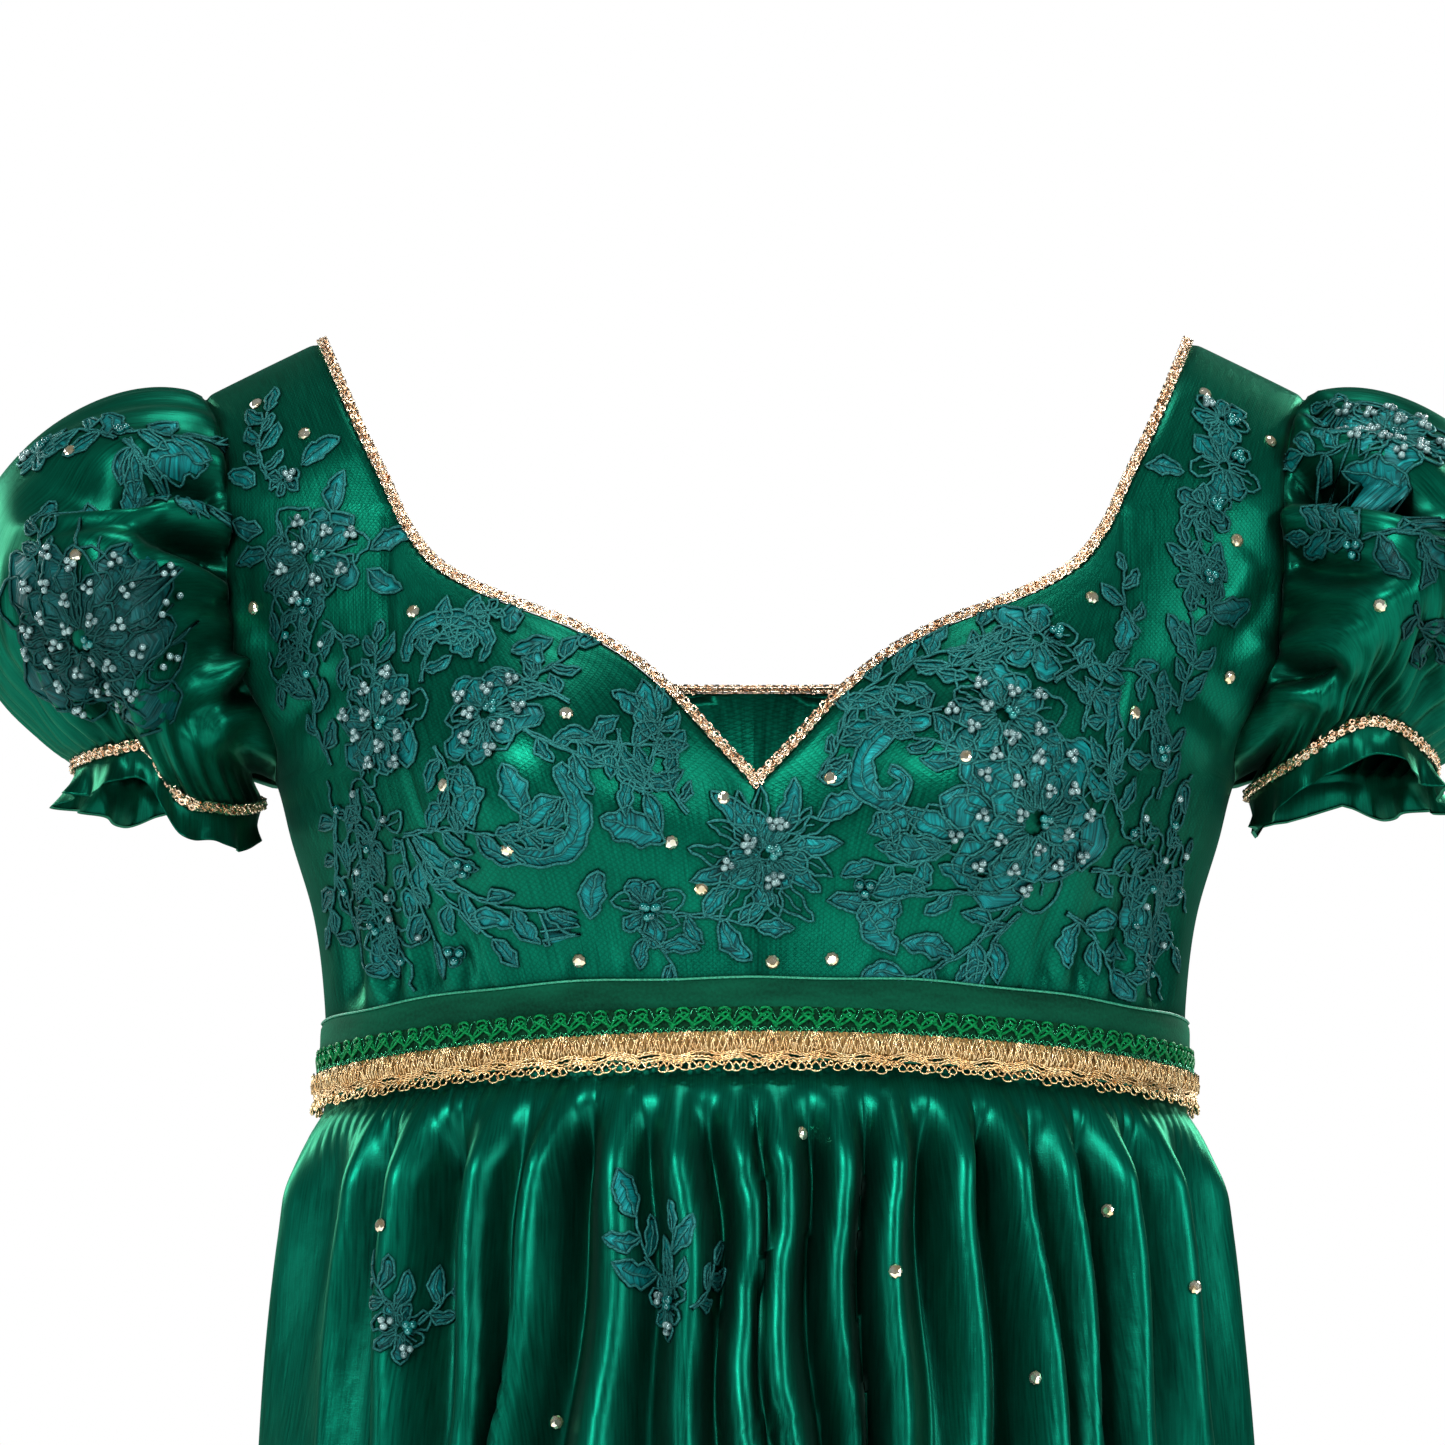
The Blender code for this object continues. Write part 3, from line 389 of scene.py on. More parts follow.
def satin_finish(name, deep, bright, ribs, ribbing, net=0.0, fold=0.022):
    """Glossy satin: long floats that catch the light along the thread, over soft unevenness from handling.
    Net is how much a fine net over the satin darkens it, and fold how wide a hollow has to be to take painted shade."""
    satin = Shader(
        name, Metallic=0.80, Roughness=0.34, Anisotropic=0.45, IOR=1.45, Specular_Tint=(0.20, 0.85, 0.60, 1.0),
        Sheen_Weight=0.04, Sheen_Roughness=0.35, Sheen_Tint=(0.35, 0.9, 0.7, 1.0),
    )
    threads = satin.noise(1.0, 2.0, 0.6, at=(ribs, ribs * 0.05, 1.0))
    cross = satin.noise(1.0, 2.0, 0.6, at=(260.0, 2600.0, 1.0))
    handled = satin.noise(1.0, 3.0, 0.5, at=(34.0, 22.0, 1.0))
    puckers = satin.noise(1.0, 2.0, 0.5, at=(150.0, 90.0, 1.0))
    patchy = satin.ramp(handled, (0.1, deep), (0.9, bright))
    shade = satin.mix(0.30, satin.ramp(threads, (0.20, deep), (0.80, bright)), patchy)
    shade = satin.mix(satin.maths("MULTIPLY", cross, 0.25), shade, (*deep, 1.0))
    if net:
        bars = []
        for lean in (1.0, -1.0):
            place = satin.place((1.0, lean, 0.0))
            wave = satin.add("TexWave", {"bands_direction": "DIAGONAL"}, Vector=place, Scale=330.0, Distortion=0.8)
            bars.append(wave.outputs["Fac"])
        mesh = satin.maths("POWER", satin.maths("MAXIMUM", *bars), 3.0)
        shade = satin.mix(satin.maths("MULTIPLY", mesh, net), shade, (*[c * 0.35 for c in deep], 1.0))
    # Painted shade: the colour darkens toward black in the bottoms of folds and close under cords, by how open each
    # place is.
    shade = satin.mix(satin.openness(fold, 1.7), (*[c * 0.15 for c in deep], 1.0), shade)
    normal = satin.bump(handled, 0.0016, 0.35)
    normal = satin.bump(puckers, 0.0005, 0.30, normal)
    normal = satin.bump(threads, ribbing, 0.55, normal)
    normal = satin.bump(cross, 0.00005, 0.4, normal)
    if net:
        normal = satin.bump(mesh, 0.00004, 0.4, normal)
    rough = satin.add("MapRange", _0=threads, _1=0.25, _2=0.75, _3=0.28, _4=0.42).outputs[0]
    tangent = satin.add("Tangent", {"direction_type": "UV_MAP", "uv_map": "weave"}).outputs[0]
    return satin.finish(Base_Color=shade, Roughness=rough, Normal=normal, Tangent=tangent)


bodice_satin = satin_finish("bodice_satin", (0.000, 0.040, 0.023), (0.001, 0.185, 0.108), 1500.0, 0.00010, 0.30, 0.007)


def seam_dip(grid, normals, depth=0.0009):
    """Sinks the cloth beside a panel's first and last column, where it turns into the seam."""
    steps = np.linalg.norm(np.diff(grid, axis=1), axis=-1)
    run = np.concatenate([np.zeros((len(grid), 1)), np.cumsum(steps, axis=1)], axis=1)
    dip = sum(np.exp(-((distance / SEAM_DIP_WIDTH) ** 2)) for distance in (run, run[:, -1:] - run))
    return grid - normals * (depth * np.minimum(dip, 1.0))[..., None]


def panel(name, turn, climb, flip):
    """One satin panel on the bodice's outside, with its seams, creases and an edge turned in at its top."""
    points, normals = form_point(turn, climb), form_outward(turn, climb)
    above_ribbon = smooth(points[..., 2] - waist_rise(turn, points[..., 2]), *RIBBON_COVERS)
    lift = BODICE_CLOTH + crease_height(points, normals, BODICE_CREASES) * above_ribbon
    outer = seam_dip(points + normals * lift[..., None], normals)
    outer = np.concatenate([outer, outer[-1:] - normals[-1:] * TURNED_IN])
    grid_piece("cloth_" + name, outer, bodice_satin, [name], flip)


lower_rows = np.linspace(0, 1, 46)
upper_front = np.linspace(0, 1, 111)[1:]
upper_front = np.sort(np.append(upper_front[np.abs(upper_front - BUST_SEAM_TOP) > 0.004], BUST_SEAM_TOP))
front_inner, front_outer = row_ends(NECK_FRONT, ARMHOLE_FRONT, lower_rows, upper_front)
seam_rows = len(lower_rows) + int(np.searchsorted(upper_front, BUST_SEAM_TOP)) + 1
front_seam = front_inner[0].copy(), front_inner[1].copy()
seam_heights, seam_across = zip(*BUST_SEAM)
for row in range(seam_rows - 1):
    share = np.linspace(0, 1, 401)
    turn, climb = across_row(*[(part[0][row], part[1][row]) for part in (front_inner, front_outer)], share)
    point = form_point(turn, climb)
    place = float(np.interp(0.0, point[:, 0] - curve_through(seam_heights, seam_across, point[:, 2]), share))
    front_seam[0][row], front_seam[1][row] = np.interp(place, share, turn), np.interp(place, share, climb)
back_inner, back_outer = row_ends(NECK_BACK, ARMHOLE_BACK, lower_rows, np.linspace(0, 1, 91)[1:])


def between(start, end, columns, rows=None):
    start = [part[:rows, None] for part in start]
    end = [part[:rows, None] for part in end]
    return across_row(start, end, np.linspace(0, 1, columns))


for side, flip in (("left", 1), ("right", -1)):
    panel(f"bodice_front_centre_{side}", *between(front_inner, front_seam, 56, seam_rows), flip)
    panel(f"bodice_front_side_{side}", *between(front_seam, front_outer, 60), flip)
    turn, climb = between(back_inner, back_outer, 76)
    panel(f"bodice_back_{side}", turn[:, ::-1], math.pi - climb[:, ::-1], flip)

# Skirt.
# Satin gathered into the high waist seam, one front and two backs with a turned hem. The gathers start tight
# under the band, spread unevenly, and run out into larger folds that fall to the floor.
SKIRT_CLOTH = 0.0015
HEM_HEIGHT = -1.380
SKIRT = table("share half_width front_depth back_depth squareness fold", (
    (0.0, 143.2, 97.7, 90.2, 2.2, 0), (0.0035, 144, 98.5, 91, 2.2, 0), (0.01, 148, 103, 96, 2.19, 0.4),
    (0.022, 152, 108, 102.2, 2.18, 1.1), (0.04, 155, 112, 109, 2.17, 2.2), (0.07, 159, 116.5, 117, 2.15, 3.8),
    (0.11, 164, 122, 125, 2.13, 5.8), (0.22, 179, 137, 146, 2.1, 9.5), (0.44, 210, 165, 182, 2.06, 15),
    (0.7, 252, 201, 226, 2.03, 20), (1.0, 302, 242, 272, 2.0, 24.5),
), "share squareness")
FOLDS = 20
# Crests of the gathers across the front, from the wearer's right to left: where each leaves the waist, where it
# has got to 90 mm lower, how far it stands up, and how deep the valley after it falls
GATHER = "at_waist below stand valley"
FRONT_GATHERS = table(GATHER, (
    (-146, -158, 4, 5), (-125, -136, 4, 5), (-110, -117, 5.5, 10.5), (-84, -90, 6, 3.5), (-62, -77, 7.5, 11.5),
    (-43, -47, 4, 6), (-26, -21, 6.5, 8), (-7, -2, 5, 5), (5, 9, 6.2, 8), (26, 28, 5, 6.5), (43, 42, 7.5, 8.5),
    (64, 68, 5, 8), (79, 90, 6.2, 5), (96, 104, 4.4, 7.5), (112, 120, 6.5, 9), (129, 141, 5, 5.5),
    (146, 158, 4, 5),
))
BACK_GATHERS = table(GATHER, (
    (-141, -155, 4, 6), (-128, -141, 5, 9), (-111, -122, 5.6, 6), (-99, -106, 3.6, 8), (-83, -92, 6.2, 5),
    (-71, -74, 4.4, 10), (-55, -63, 5.8, 6), (-43, -45, 4, 7), (-30, -34, 6, 6), (-18, -16, 4, 8),
    (-4, -6, 5, 9), (10, 11, 5.6, 5), (21, 24, 3.6, 7), (35, 37, 6, 9), (50, 57, 4.8, 5), (61, 67, 5.2, 10),
    (78, 81, 6, 6), (90, 99, 3.8, 7), (104, 113, 5.6, 9), (121, 131, 5, 6), (135, 150, 4.2, 6),
))
GATHERS_START, GATHERS_BELOW = 0.012, 0.085


def skirt_form(phase, share, wave):
    """A point of the skirt's inside. Phase is 0 at the centre front and pi at the back; wave moves it out."""
    angle = phase + 0.030 * np.sin(4 * phase) + 0.014 * np.sin(10 * phase)
    depth = np.where(np.cos(angle) >= 0, column(SKIRT, "front_depth", share), column(SKIRT, "back_depth", share))
    power = 2 / column(SKIRT, "squareness", share)
    across = (column(SKIRT, "half_width", share) + wave) * signed_power(np.sin(angle), power)
    toward = -(depth + wave) * signed_power(np.cos(angle), power)
    rise = np.where(np.cos(angle) > 0, WAIST_ARCH * np.cos(angle) ** 2, 0.0)
    top = WAIST_SEAM_HEIGHT - 0.0004 + rise
    return np.stack([across, toward, top * (1 - share) + HEM_HEIGHT * share], axis=-1)


def phase_at(across, share, back):
    """The phase at which the skirt's unfolded form lies so far across."""
    phases = np.linspace(0, math.pi / 2, 721)
    reach = skirt_form(phases, np.full_like(phases, share), 0.0)[:, 0]
    found = np.sign(across) * np.interp(np.abs(across), reach, phases)
    return np.sign(found) * math.pi - found if back else found


gather_lines = np.array([
    [phase_at(getattr(g, end), share, False) for g in FRONT_GATHERS]
    + [phase_at(getattr(g, end), share, True) % (2 * math.pi) for g in BACK_GATHERS]
    for end, share in (("at_waist", GATHERS_START), ("below", GATHERS_BELOW))
])
gathers = np.array([(g.stand, g.valley) for g in FRONT_GATHERS + BACK_GATHERS])
turn_order = np.argsort(gather_lines[0])
gather_lines, gathers = gather_lines[:, turn_order], gathers[turn_order]


def gather_wave(phase, share):
    """How far the listed gathers move the cloth out, fading into the long folds below."""
    count = gather_lines.shape[1]
    phase = (phase + math.pi / 2) % (2 * math.pi) - math.pi / 2
    lean = np.clip(share / GATHERS_BELOW, 0, 1.25)[:, :1]
    crests = gather_lines[0] * (1 - lean) + gather_lines[1] * lean
    wave = np.zeros_like(phase)
    for row in range(len(phase)):
        down = share[row, 0]
        sway = (0.008 + 0.006 * np.cos(crests[row])) * smooth(down, 0.012, 0.05) * (1 - smooth(down, 0.09, 0.22))
        moved = crests[row] + sway * np.sin(down * 58 + np.arange(count) * 0.8)
        line = np.concatenate([moved[-1:] - 2 * math.pi, moved, moved[:1] + 2 * math.pi])
        line = np.maximum.accumulate(line + np.arange(count + 2) * 1e-6)
        place = np.interp(phase[row], line, np.arange(-1, count + 1))
        low = np.floor(place).astype(int)
        part = place - low
        rising = smooth(part, 0, 1)
        stand = gathers[low % count, 0] * (1 - rising) + gathers[(low + 1) % count, 0] * rising
        valley = gathers[low % count, 1]
        sharp = 0.34 + 0.28 * np.sin((low + np.round(part)) * 2.1)
        narrow = np.exp(-((np.minimum(part, 1 - part) / 0.14) ** 2))
        crest = sharp * narrow + (1 - sharp) * np.cos(math.pi * part) ** 2
        wave[row] = 1.3 * stand * crest - 1.15 * valley * np.sin(math.pi * part) ** 1.8
    full = smooth(share, 0.0045, 0.030) * (1 - smooth(share, 0.20, 0.52))
    tight = smooth(share, 0.003, 0.006) * (1 - smooth(share, 0.008, 0.022))
    fine = 0.0004 * np.sin(130 * phase + 2.0 * np.sin(9 * phase)) * tight
    return wave * full + fine


def skirt_cloth(phase, share):
    fold = column(SKIRT, "fold", share) * (0.8 + 0.3 * np.sin(3 * phase + 1.1))
    ripple = np.cos(FOLDS * phase + 0.5 * np.sin(2 * phase) + 0.22 * np.sin(5 * phase) * smooth(share, 0.2, 0.8))
    long_folds = fold * (ripple + 0.16 * np.cos(2 * FOLDS * phase + 1.7 * np.sin(3 * phase)) * smooth(share, 0.2, 0.6))
    uneven = 0.0010 * np.sin(33 * phase + 4.0 * share) * smooth(share, 0.15, 0.5) * (1 - 0.6 * smooth(share, 0.6, 1))
    return skirt_form(phase, share, gather_wave(phase, share) + long_folds * smooth(share, 0.03, 0.16) + uneven)


skirt_satin = satin_finish("skirt_satin", (0.000, 0.045, 0.028), (0.001, 0.200, 0.122), 1100.0, 0.00004)
skirt_shares = np.concatenate([
    np.linspace(0, 0.012, 9)[:-1], np.linspace(0.012, 0.10, 58)[:-1], np.linspace(0.10, 0.25, 30)[:-1],
    np.linspace(0.25, 1.0, 40),
])
for name, first, last, count in (
    ("skirt_front", -0.5, 0.5, 300), ("skirt_back_left", 0.5, 1.0, 150), ("skirt_back_right", -1.0, -0.5, 150),
):
    phase, share = np.meshgrid(np.linspace(first, last, count) * math.pi, skirt_shares)
    inner = skirt_cloth(phase, share)
    normals = unit(np.cross(np.gradient(inner, axis=1), -np.gradient(inner, axis=0)))
    grid = seam_dip(inner + normals * SKIRT_CLOTH, normals, 0.0012)
    rim = grid[-1:] - normals[-1:] * TURNED_IN
    grid = np.concatenate([grid, rim, grid[-2:-4:-1] - normals[-2:-4:-1] * 0.0014])[::-1]
    grid_piece("cloth_" + name, grid, skirt_satin, [name])
    if name == "skirt_front":
        skirt_front_grid = grid[3:]

# Sleeves.
# Short puffs cut wide, pleated into the armhole and drawn in by elastic above a small loose ruffle.
# The pleats run out from the armhole seam and die away in the fullness, deepest at the front and back.
SLEEVE_CLOTH = 0.0014
PUFF = table("turn leave_out leave_front leave_up return_out return_front return_up fullness", (
    (0.0, 43, 0, 20, 89, 0, 58, 0.8), (0.125, 40, 20, 18, 66, 42, 55, 1.0), (0.25, 28, 32, 8, 30, 60, 40, 1.1),
    (0.375, 16, 18, 3, 10, 30, 22, 0.6), (0.5, 10, 0, 6, 7, 0, 12, 0.12), (0.625, 16, -18, 3, 10, -30, 22, 0.6),
    (0.75, 28, -30, 8, 30, -58, 40, 1.1), (0.875, 40, -20, 18, 66, -42, 55, 1.0),
    (1.0, 43, 0, 20, 89, 0, 58, 0.8),
), "turn fullness")
CUFF_CENTRE = (0.1985, -0.002, -0.1385)
CUFF_HALF_WIDTH = 0.0300
CUFF_HALF_DEPTH = 0.047
CUFF_TILT = 0.004
CUFF_ROW = 85
ELASTIC_BAND = 0.0046
RUFFLE_DROP = 0.0105
SLEEVE_COLUMNS = 220
# How far the elastic rides up or down round the arm, by the turn from the outside to the front and on round
CUFF_RISES = table("turn left right", (
    (0.0, 0, 2), (0.1, 6, 3), (0.18, 14, 6), (0.24, 16, 7), (0.29, 13, -7), (0.36, 6, -9), (0.5, 0, -3),
    (0.62, 3, 2), (0.74, 9, 6), (0.86, 3, 1), (1.0, 0, 2),
), "turn")
LEFT_SLEEVE_CREASES = table(CREASE, (
    (-1, 178, -46, 238, -62, 6, 12, 2), (-1, 176, -72, 222, -80, 4, 4, -3),
    (-1, 173, -109, 200, -118, 3.6, 6.4, 3), (-1, 176, -100, 206, -100, 4, -3, 2),
    (-1, 184, -14, 196, -34, 3.4, 3.6, 2), (-1, 196, -132, 206, -100, 4, 3.4, -2),
    (-1, 214, -130, 222, -96, 4.4, 4, -3), (-1, 230, -132, 246, -100, 4.6, 4, -3),
    (1, 176, -52, 232, -64, 5.6, 8, 3), (1, 172, -86, 224, -92, 5, 6, -4), (1, 170, -112, 204, -122, 4.4, 5, 3),
    (1, 206, -132, 214, -100, 4.4, 4, -3), (1, 228, -130, 240, -98, 4.4, 4, 3),
), "side")
RIGHT_SLEEVE_CREASES = table(CREASE, (
    (-1, 176, -52, 214, -50, 5, 7.8, 4), (-1, 174, -75, 206, -64, 4, 7.4, 1), (-1, 200, -52, 252, -48, 9, 7, 0),
    (-1, 198, -60, 250, -62, 3, -3.4, 2), (-1, 170, -104, 182, -142, 4.6, -4, 3),
    (-1, 168, -110, 196, -132, 4, 4.4, -2), (-1, 212, -134, 222, -100, 4.6, 4, 3),
    (-1, 234, -128, 246, -98, 4.6, 3.6, -3), (1, 176, -48, 230, -58, 5.6, 8, 3),
    (1, 172, -80, 226, -86, 5, 6.4, -4), (1, 170, -110, 202, -120, 4.4, 5, 3),
    (1, 204, -132, 212, -102, 4.4, 4, -3), (1, 230, -130, 242, -98, 4.4, 4, 3),
), "side")


def edge_line(front, back, from_shoulder):
    """Turn and climb along an edge's two halves in one line: from the shoulder down the front and up the back,
    or else from the centre front up to the shoulder and down the back."""
    parts = []
    for edge, behind in ((front, False), (back, True)):
        turn, climb = form_place(*along_edge(edge, np.linspace(0, 1, 401)).T)
        climb[-1] = QUARTER
        climb = math.pi - climb if behind else climb
        way = 1 if behind == from_shoulder else -1
        parts.append((turn[::way], climb[::way]))
    return [np.concatenate([a, b[1:]]) for a, b in zip(*parts)]


def armhole_line():
    """Points and normals just off the armhole's edge, evenly from the shoulder down the front and up the back."""
    turn, climb = edge_line(ARMHOLE_FRONT, ARMHOLE_BACK, True)
    run = run_along(form_point(turn, climb))
    at = np.linspace(0, run[-1], SLEEVE_COLUMNS, endpoint=False)
    turn, climb = np.interp(at, run, turn), np.interp(at, run, climb)
    points, normals = form_point(turn, climb), form_outward(turn, climb)
    tangent = np.roll(points, -1, axis=0) - np.roll(points, 1, axis=0)
    return points + unit(np.cross(normals, tangent)) * 0.0004, normals


def sleeve_grid(creases, rises):
    """The left sleeve's outside, from the armhole to the ruffle's turned edge, and the way out round its cuff."""
    ring, ring_normals = armhole_line()
    run = run_along(np.concatenate([ring, ring[:1]]))
    turn = np.interp(run[:-1], (0.0, run[int(np.argmin(ring[:, 2]))], run[-1]), (0.0, 0.5, 1.0))
    angle = 2 * math.pi * turn
    around = (CUFF_HALF_WIDTH * np.cos(angle), -CUFF_HALF_DEPTH * np.sin(angle), CUFF_TILT * np.cos(angle))
    around = np.stack(around, axis=-1)
    upward = np.array((0, 0, 1))
    rise = curve_through([r.turn for r in CUFF_RISES], rises, turn)
    cuff = np.array(CUFF_CENTRE) + around + rise[:, None] * upward
    leave, back_in = (
        np.stack([column(PUFF, k + "_out", turn), -column(PUFF, k + "_front", turn), column(PUFF, k + "_up", turn)], -1)
        for k in ("leave", "return")
    )
    fullness = column(PUFF, "fullness", turn)
    t = np.linspace(0, 1, 84)[:, None, None]
    rows = ring * (1 - t) ** 3 + (ring + leave) * 3 * t * (1 - t) ** 2 + (cuff + back_in) * 3 * t**2 * (1 - t) + cuff * t**3
    t = t[..., 0]
    at_armhole = np.cos(21 * angle + 1.3 * np.sin(3 * angle)) * smooth(t, 0.0, 0.05) * (1 - smooth(t, 0.12, 0.55))
    at_cuff = np.cos(34 * angle + 1.6 * np.sin(4 * angle)) * smooth(t, 0.55, 0.93) * (1 - smooth(t, 0.97, 1.0) * 0.7)
    swell = np.sin(4 * angle + 1.0) * np.sin(math.pi * t) ** 2
    lift = (0.0013 * at_armhole + 0.0017 * at_cuff + 0.0022 * swell) * fullness
    around_grid = np.roll(rows, -1, axis=1) - np.roll(rows, 1, axis=1)
    normals = unit(np.cross(around_grid, np.gradient(rows, axis=0)))
    at_creases = smooth(t, 0.0, 0.035) * (1 - smooth(t, 0.9, 1))
    lift = lift + SLEEVE_CLOTH + 1.35 * crease_height(rows, normals, creases) * at_creases
    grid = rows + normals * lift[..., None]
    grid[0] = ring + ring_normals * 0.0008
    inward = unit(np.cross(ring_normals, np.roll(ring, 1, axis=0) - np.roll(ring, -1, axis=0)))
    allowance = ring + inward * 0.0034 - ring_normals * 0.0004
    away = unit(around * np.array((1.0, 1.0, 0.0)))
    spread = 0.55 + 0.45 * np.cos(angle)
    flutter = np.cos(11 * angle + 1.2 * np.sin(2 * angle)) + 0.35 * np.cos(23 * angle)
    below = []
    for reach in np.concatenate([np.linspace(0, 1, 13), [1.0]]):
        flare = reach * (spread * 0.0045 + 0.0034 * flutter * (0.4 + 0.6 * spread))
        flare = flare + 0.0012 - 0.0008 * np.sin(math.pi * reach)
        drop = ELASTIC_BAND + RUFFLE_DROP * reach + 0.0014 * reach * np.cos(7 * angle + 0.6)
        below.append(cuff - upward * drop[:, None] + away * flare[:, None])
    below[-1] = below[-1] - away * 0.0011 + upward * 0.0006
    middle = (grid[-1] + below[0]) / 2 - away * 0.0004
    return np.concatenate([allowance[None], grid, middle[None], np.array(below)]), away


sleeve_satin = satin_finish("sleeve_satin", (0.000, 0.040, 0.023), (0.001, 0.165, 0.096), 1400.0, 0.00012)
sleeve_cuffs = {}
for side, flip, creases in (("left", 1, LEFT_SLEEVE_CREASES), ("right", -1, RIGHT_SLEEVE_CREASES)):
    grid, away = sleeve_grid(creases, [getattr(r, side) for r in CUFF_RISES])
    uv = weave_measures(grid)
    uv = np.concatenate([uv, uv[:, -1:] + (uv[:, 1:2] - uv[:, :1])], axis=1)
    closed = np.concatenate([grid, grid[:, :1]], axis=1)
    grid_piece(f"cloth_sleeve_{side}", closed, sleeve_satin, [f"sleeve_{side}"], flip, uv)
    sleeve_cuffs[side] = [part if flip > 0 else mirrored(part) for part in (grid[CUFF_ROW], away)]

# Waist ribbon.
# A 25 mm velvet ribbon of dark green over the waist seam, sewn down along both woven edges.
# Its pile drinks the light and its satin selvedges catch a thin line of it.
RIBBON_TOP = -0.2222
RIBBON_BOTTOM = -0.2486
RIBBON_OUT = 0.0032
WAIST_STEPS = 1200
TRIM_START = 0.0012


def evenly(steps, line, *parts):
    """A line and what goes with it, read at even steps along it."""
    run = run_along(line)
    at = np.linspace(0, run[-1], steps + 1)
    return [np.stack([np.interp(at, run, part[:, k]) for k in range(3)], -1) for part in (line, *parts)]


def waist_ring(height):
    """Points and normals of the bodice's inside round the waist, evenly from the centre back by the right side."""
    share = np.linspace(0, 1, 500)
    climb = front_climb(share, height)
    front, back = ((form_point(share, c), form_outward(share, c)) for c in (climb, math.pi - climb))
    half = [np.concatenate([f, b[-2::-1]]) for f, b in zip(front, back)]
    points, normals = (np.concatenate([mirrored(part[:0:-1]), part]) for part in half)
    length = run_along(points)[-1]
    points, normals = evenly(WAIST_STEPS, points, normals)
    return points, unit(normals), length


ring_heights = np.linspace(-0.262, -0.216, 9)
ring_points, ring_normals, ring_lengths = (np.array(part) for part in zip(*[waist_ring(h) for h in ring_heights]))
WAIST_ROUND = float(np.mean(ring_lengths))


def on_waist(run, height, out):
    """A point of a waist trim: metres run from the centre back, the height at the side seams, and how far out."""
    run, height, out = np.broadcast_arrays(*[np.asarray(v, float) for v in (run, height, out)])
    column_at = np.clip(run / WAIST_ROUND, 0, 1) * WAIST_STEPS
    row_at = (height - ring_heights[0]) / (ring_heights[1] - ring_heights[0])
    c0 = np.clip(column_at.astype(int), 0, WAIST_STEPS - 1)
    r0 = np.clip(np.floor(row_at).astype(int), 0, len(ring_heights) - 2)
    c, r = (column_at - c0)[..., None], (row_at - r0)[..., None]

    def read(grid):
        low = grid[r0, c0] * (1 - c) + grid[r0, c0 + 1] * c
        high = grid[r0 + 1, c0] * (1 - c) + grid[r0 + 1, c0 + 1] * c
        return low * (1 - r) + high * r

    return read(ring_points) + unit(read(ring_normals)) * out[..., None]


def waist_run(margin, step=None, count=None):
    """Places round the waist, from a margin past the centre back to the same margin before it."""
    if step:
        return np.arange(margin, WAIST_ROUND - margin, step)
    return np.linspace(margin, WAIST_ROUND - margin, count)


def tubes(name, lines, radius, material, stands_for=(), sides=4, normals=None, closed=False):
    """Round cords along lines of points, given as one array each, all joined in one piece."""
    points, faces, first = [], [], 0
    for number, line in enumerate(lines):
        line = np.asarray(line, float)
        count = len(line)
        ends = closed[number] if isinstance(closed, (list, np.ndarray)) else closed
        ahead = np.roll(line, -1, axis=0) - np.roll(line, 1, axis=0)
        if not ends:
            ahead[0], ahead[-1] = line[1] - line[0], line[-1] - line[-2]
        ahead = unit(ahead)
        up = normals[number] if normals is not None else np.tile((0.0, 0.0, 1.0), (count, 1))
        beside = unit(np.cross(ahead, up))
        up = np.cross(beside, ahead)
        turn = np.linspace(0, 2 * math.pi, sides, endpoint=False)
        thick = radius[number] if isinstance(radius, (list, np.ndarray)) else radius
        ring = beside[:, None] * np.cos(turn)[:, None] + up[:, None] * np.sin(turn)[:, None]
        points.append((line[:, None] + ring * thick).reshape(-1, 3))
        cell = grid_faces(count + 1 if ends else count, sides, ring=True)
        faces.append(cell % (count * sides) + first if ends else cell + first)
        first += count * sides
    return mesh_piece(name, np.concatenate(points), np.concatenate(faces), material, stands_for)


velvet = Shader("velvet", Roughness=0.82, Metallic=0.0, Sheen_Weight=0.35, Sheen_Roughness=0.35,
                Sheen_Tint=(0.03, 0.60, 0.30, 1.0), Specular_IOR_Level=0.06)
pile = velvet.noise(1.0, 3.0, 0.6, at=(900.0, 900.0, 1.0))
crushed = velvet.noise(1.0, 3.0, 0.55, at=(22.0, 90.0, 1.0))
pile_shade = velvet.mix(0.5, velvet.ramp(pile, (0.3, (0.0, 0.018, 0.009)), (0.75, (0.001, 0.060, 0.030))),
                        velvet.ramp(crushed, (0.35, (0.0, 0.014, 0.007)), (0.68, (0.001, 0.075, 0.038))))
pile_bump = velvet.bump(crushed, 0.0008, 0.4, velvet.bump(pile, 0.0002, 0.7))
velvet_pile = velvet.finish(Base_Color=pile_shade, Normal=pile_bump)
selvedge_satin = two_tone(
    "selvedge", (1400.0, 2.0, 0.5, "Object"), ((0.3, (0.006, 0.13, 0.07)), (0.7, (0.03, 0.34, 0.20))),
    (0.0002, 0.6), Roughness=0.40, Metallic=0.25,
)

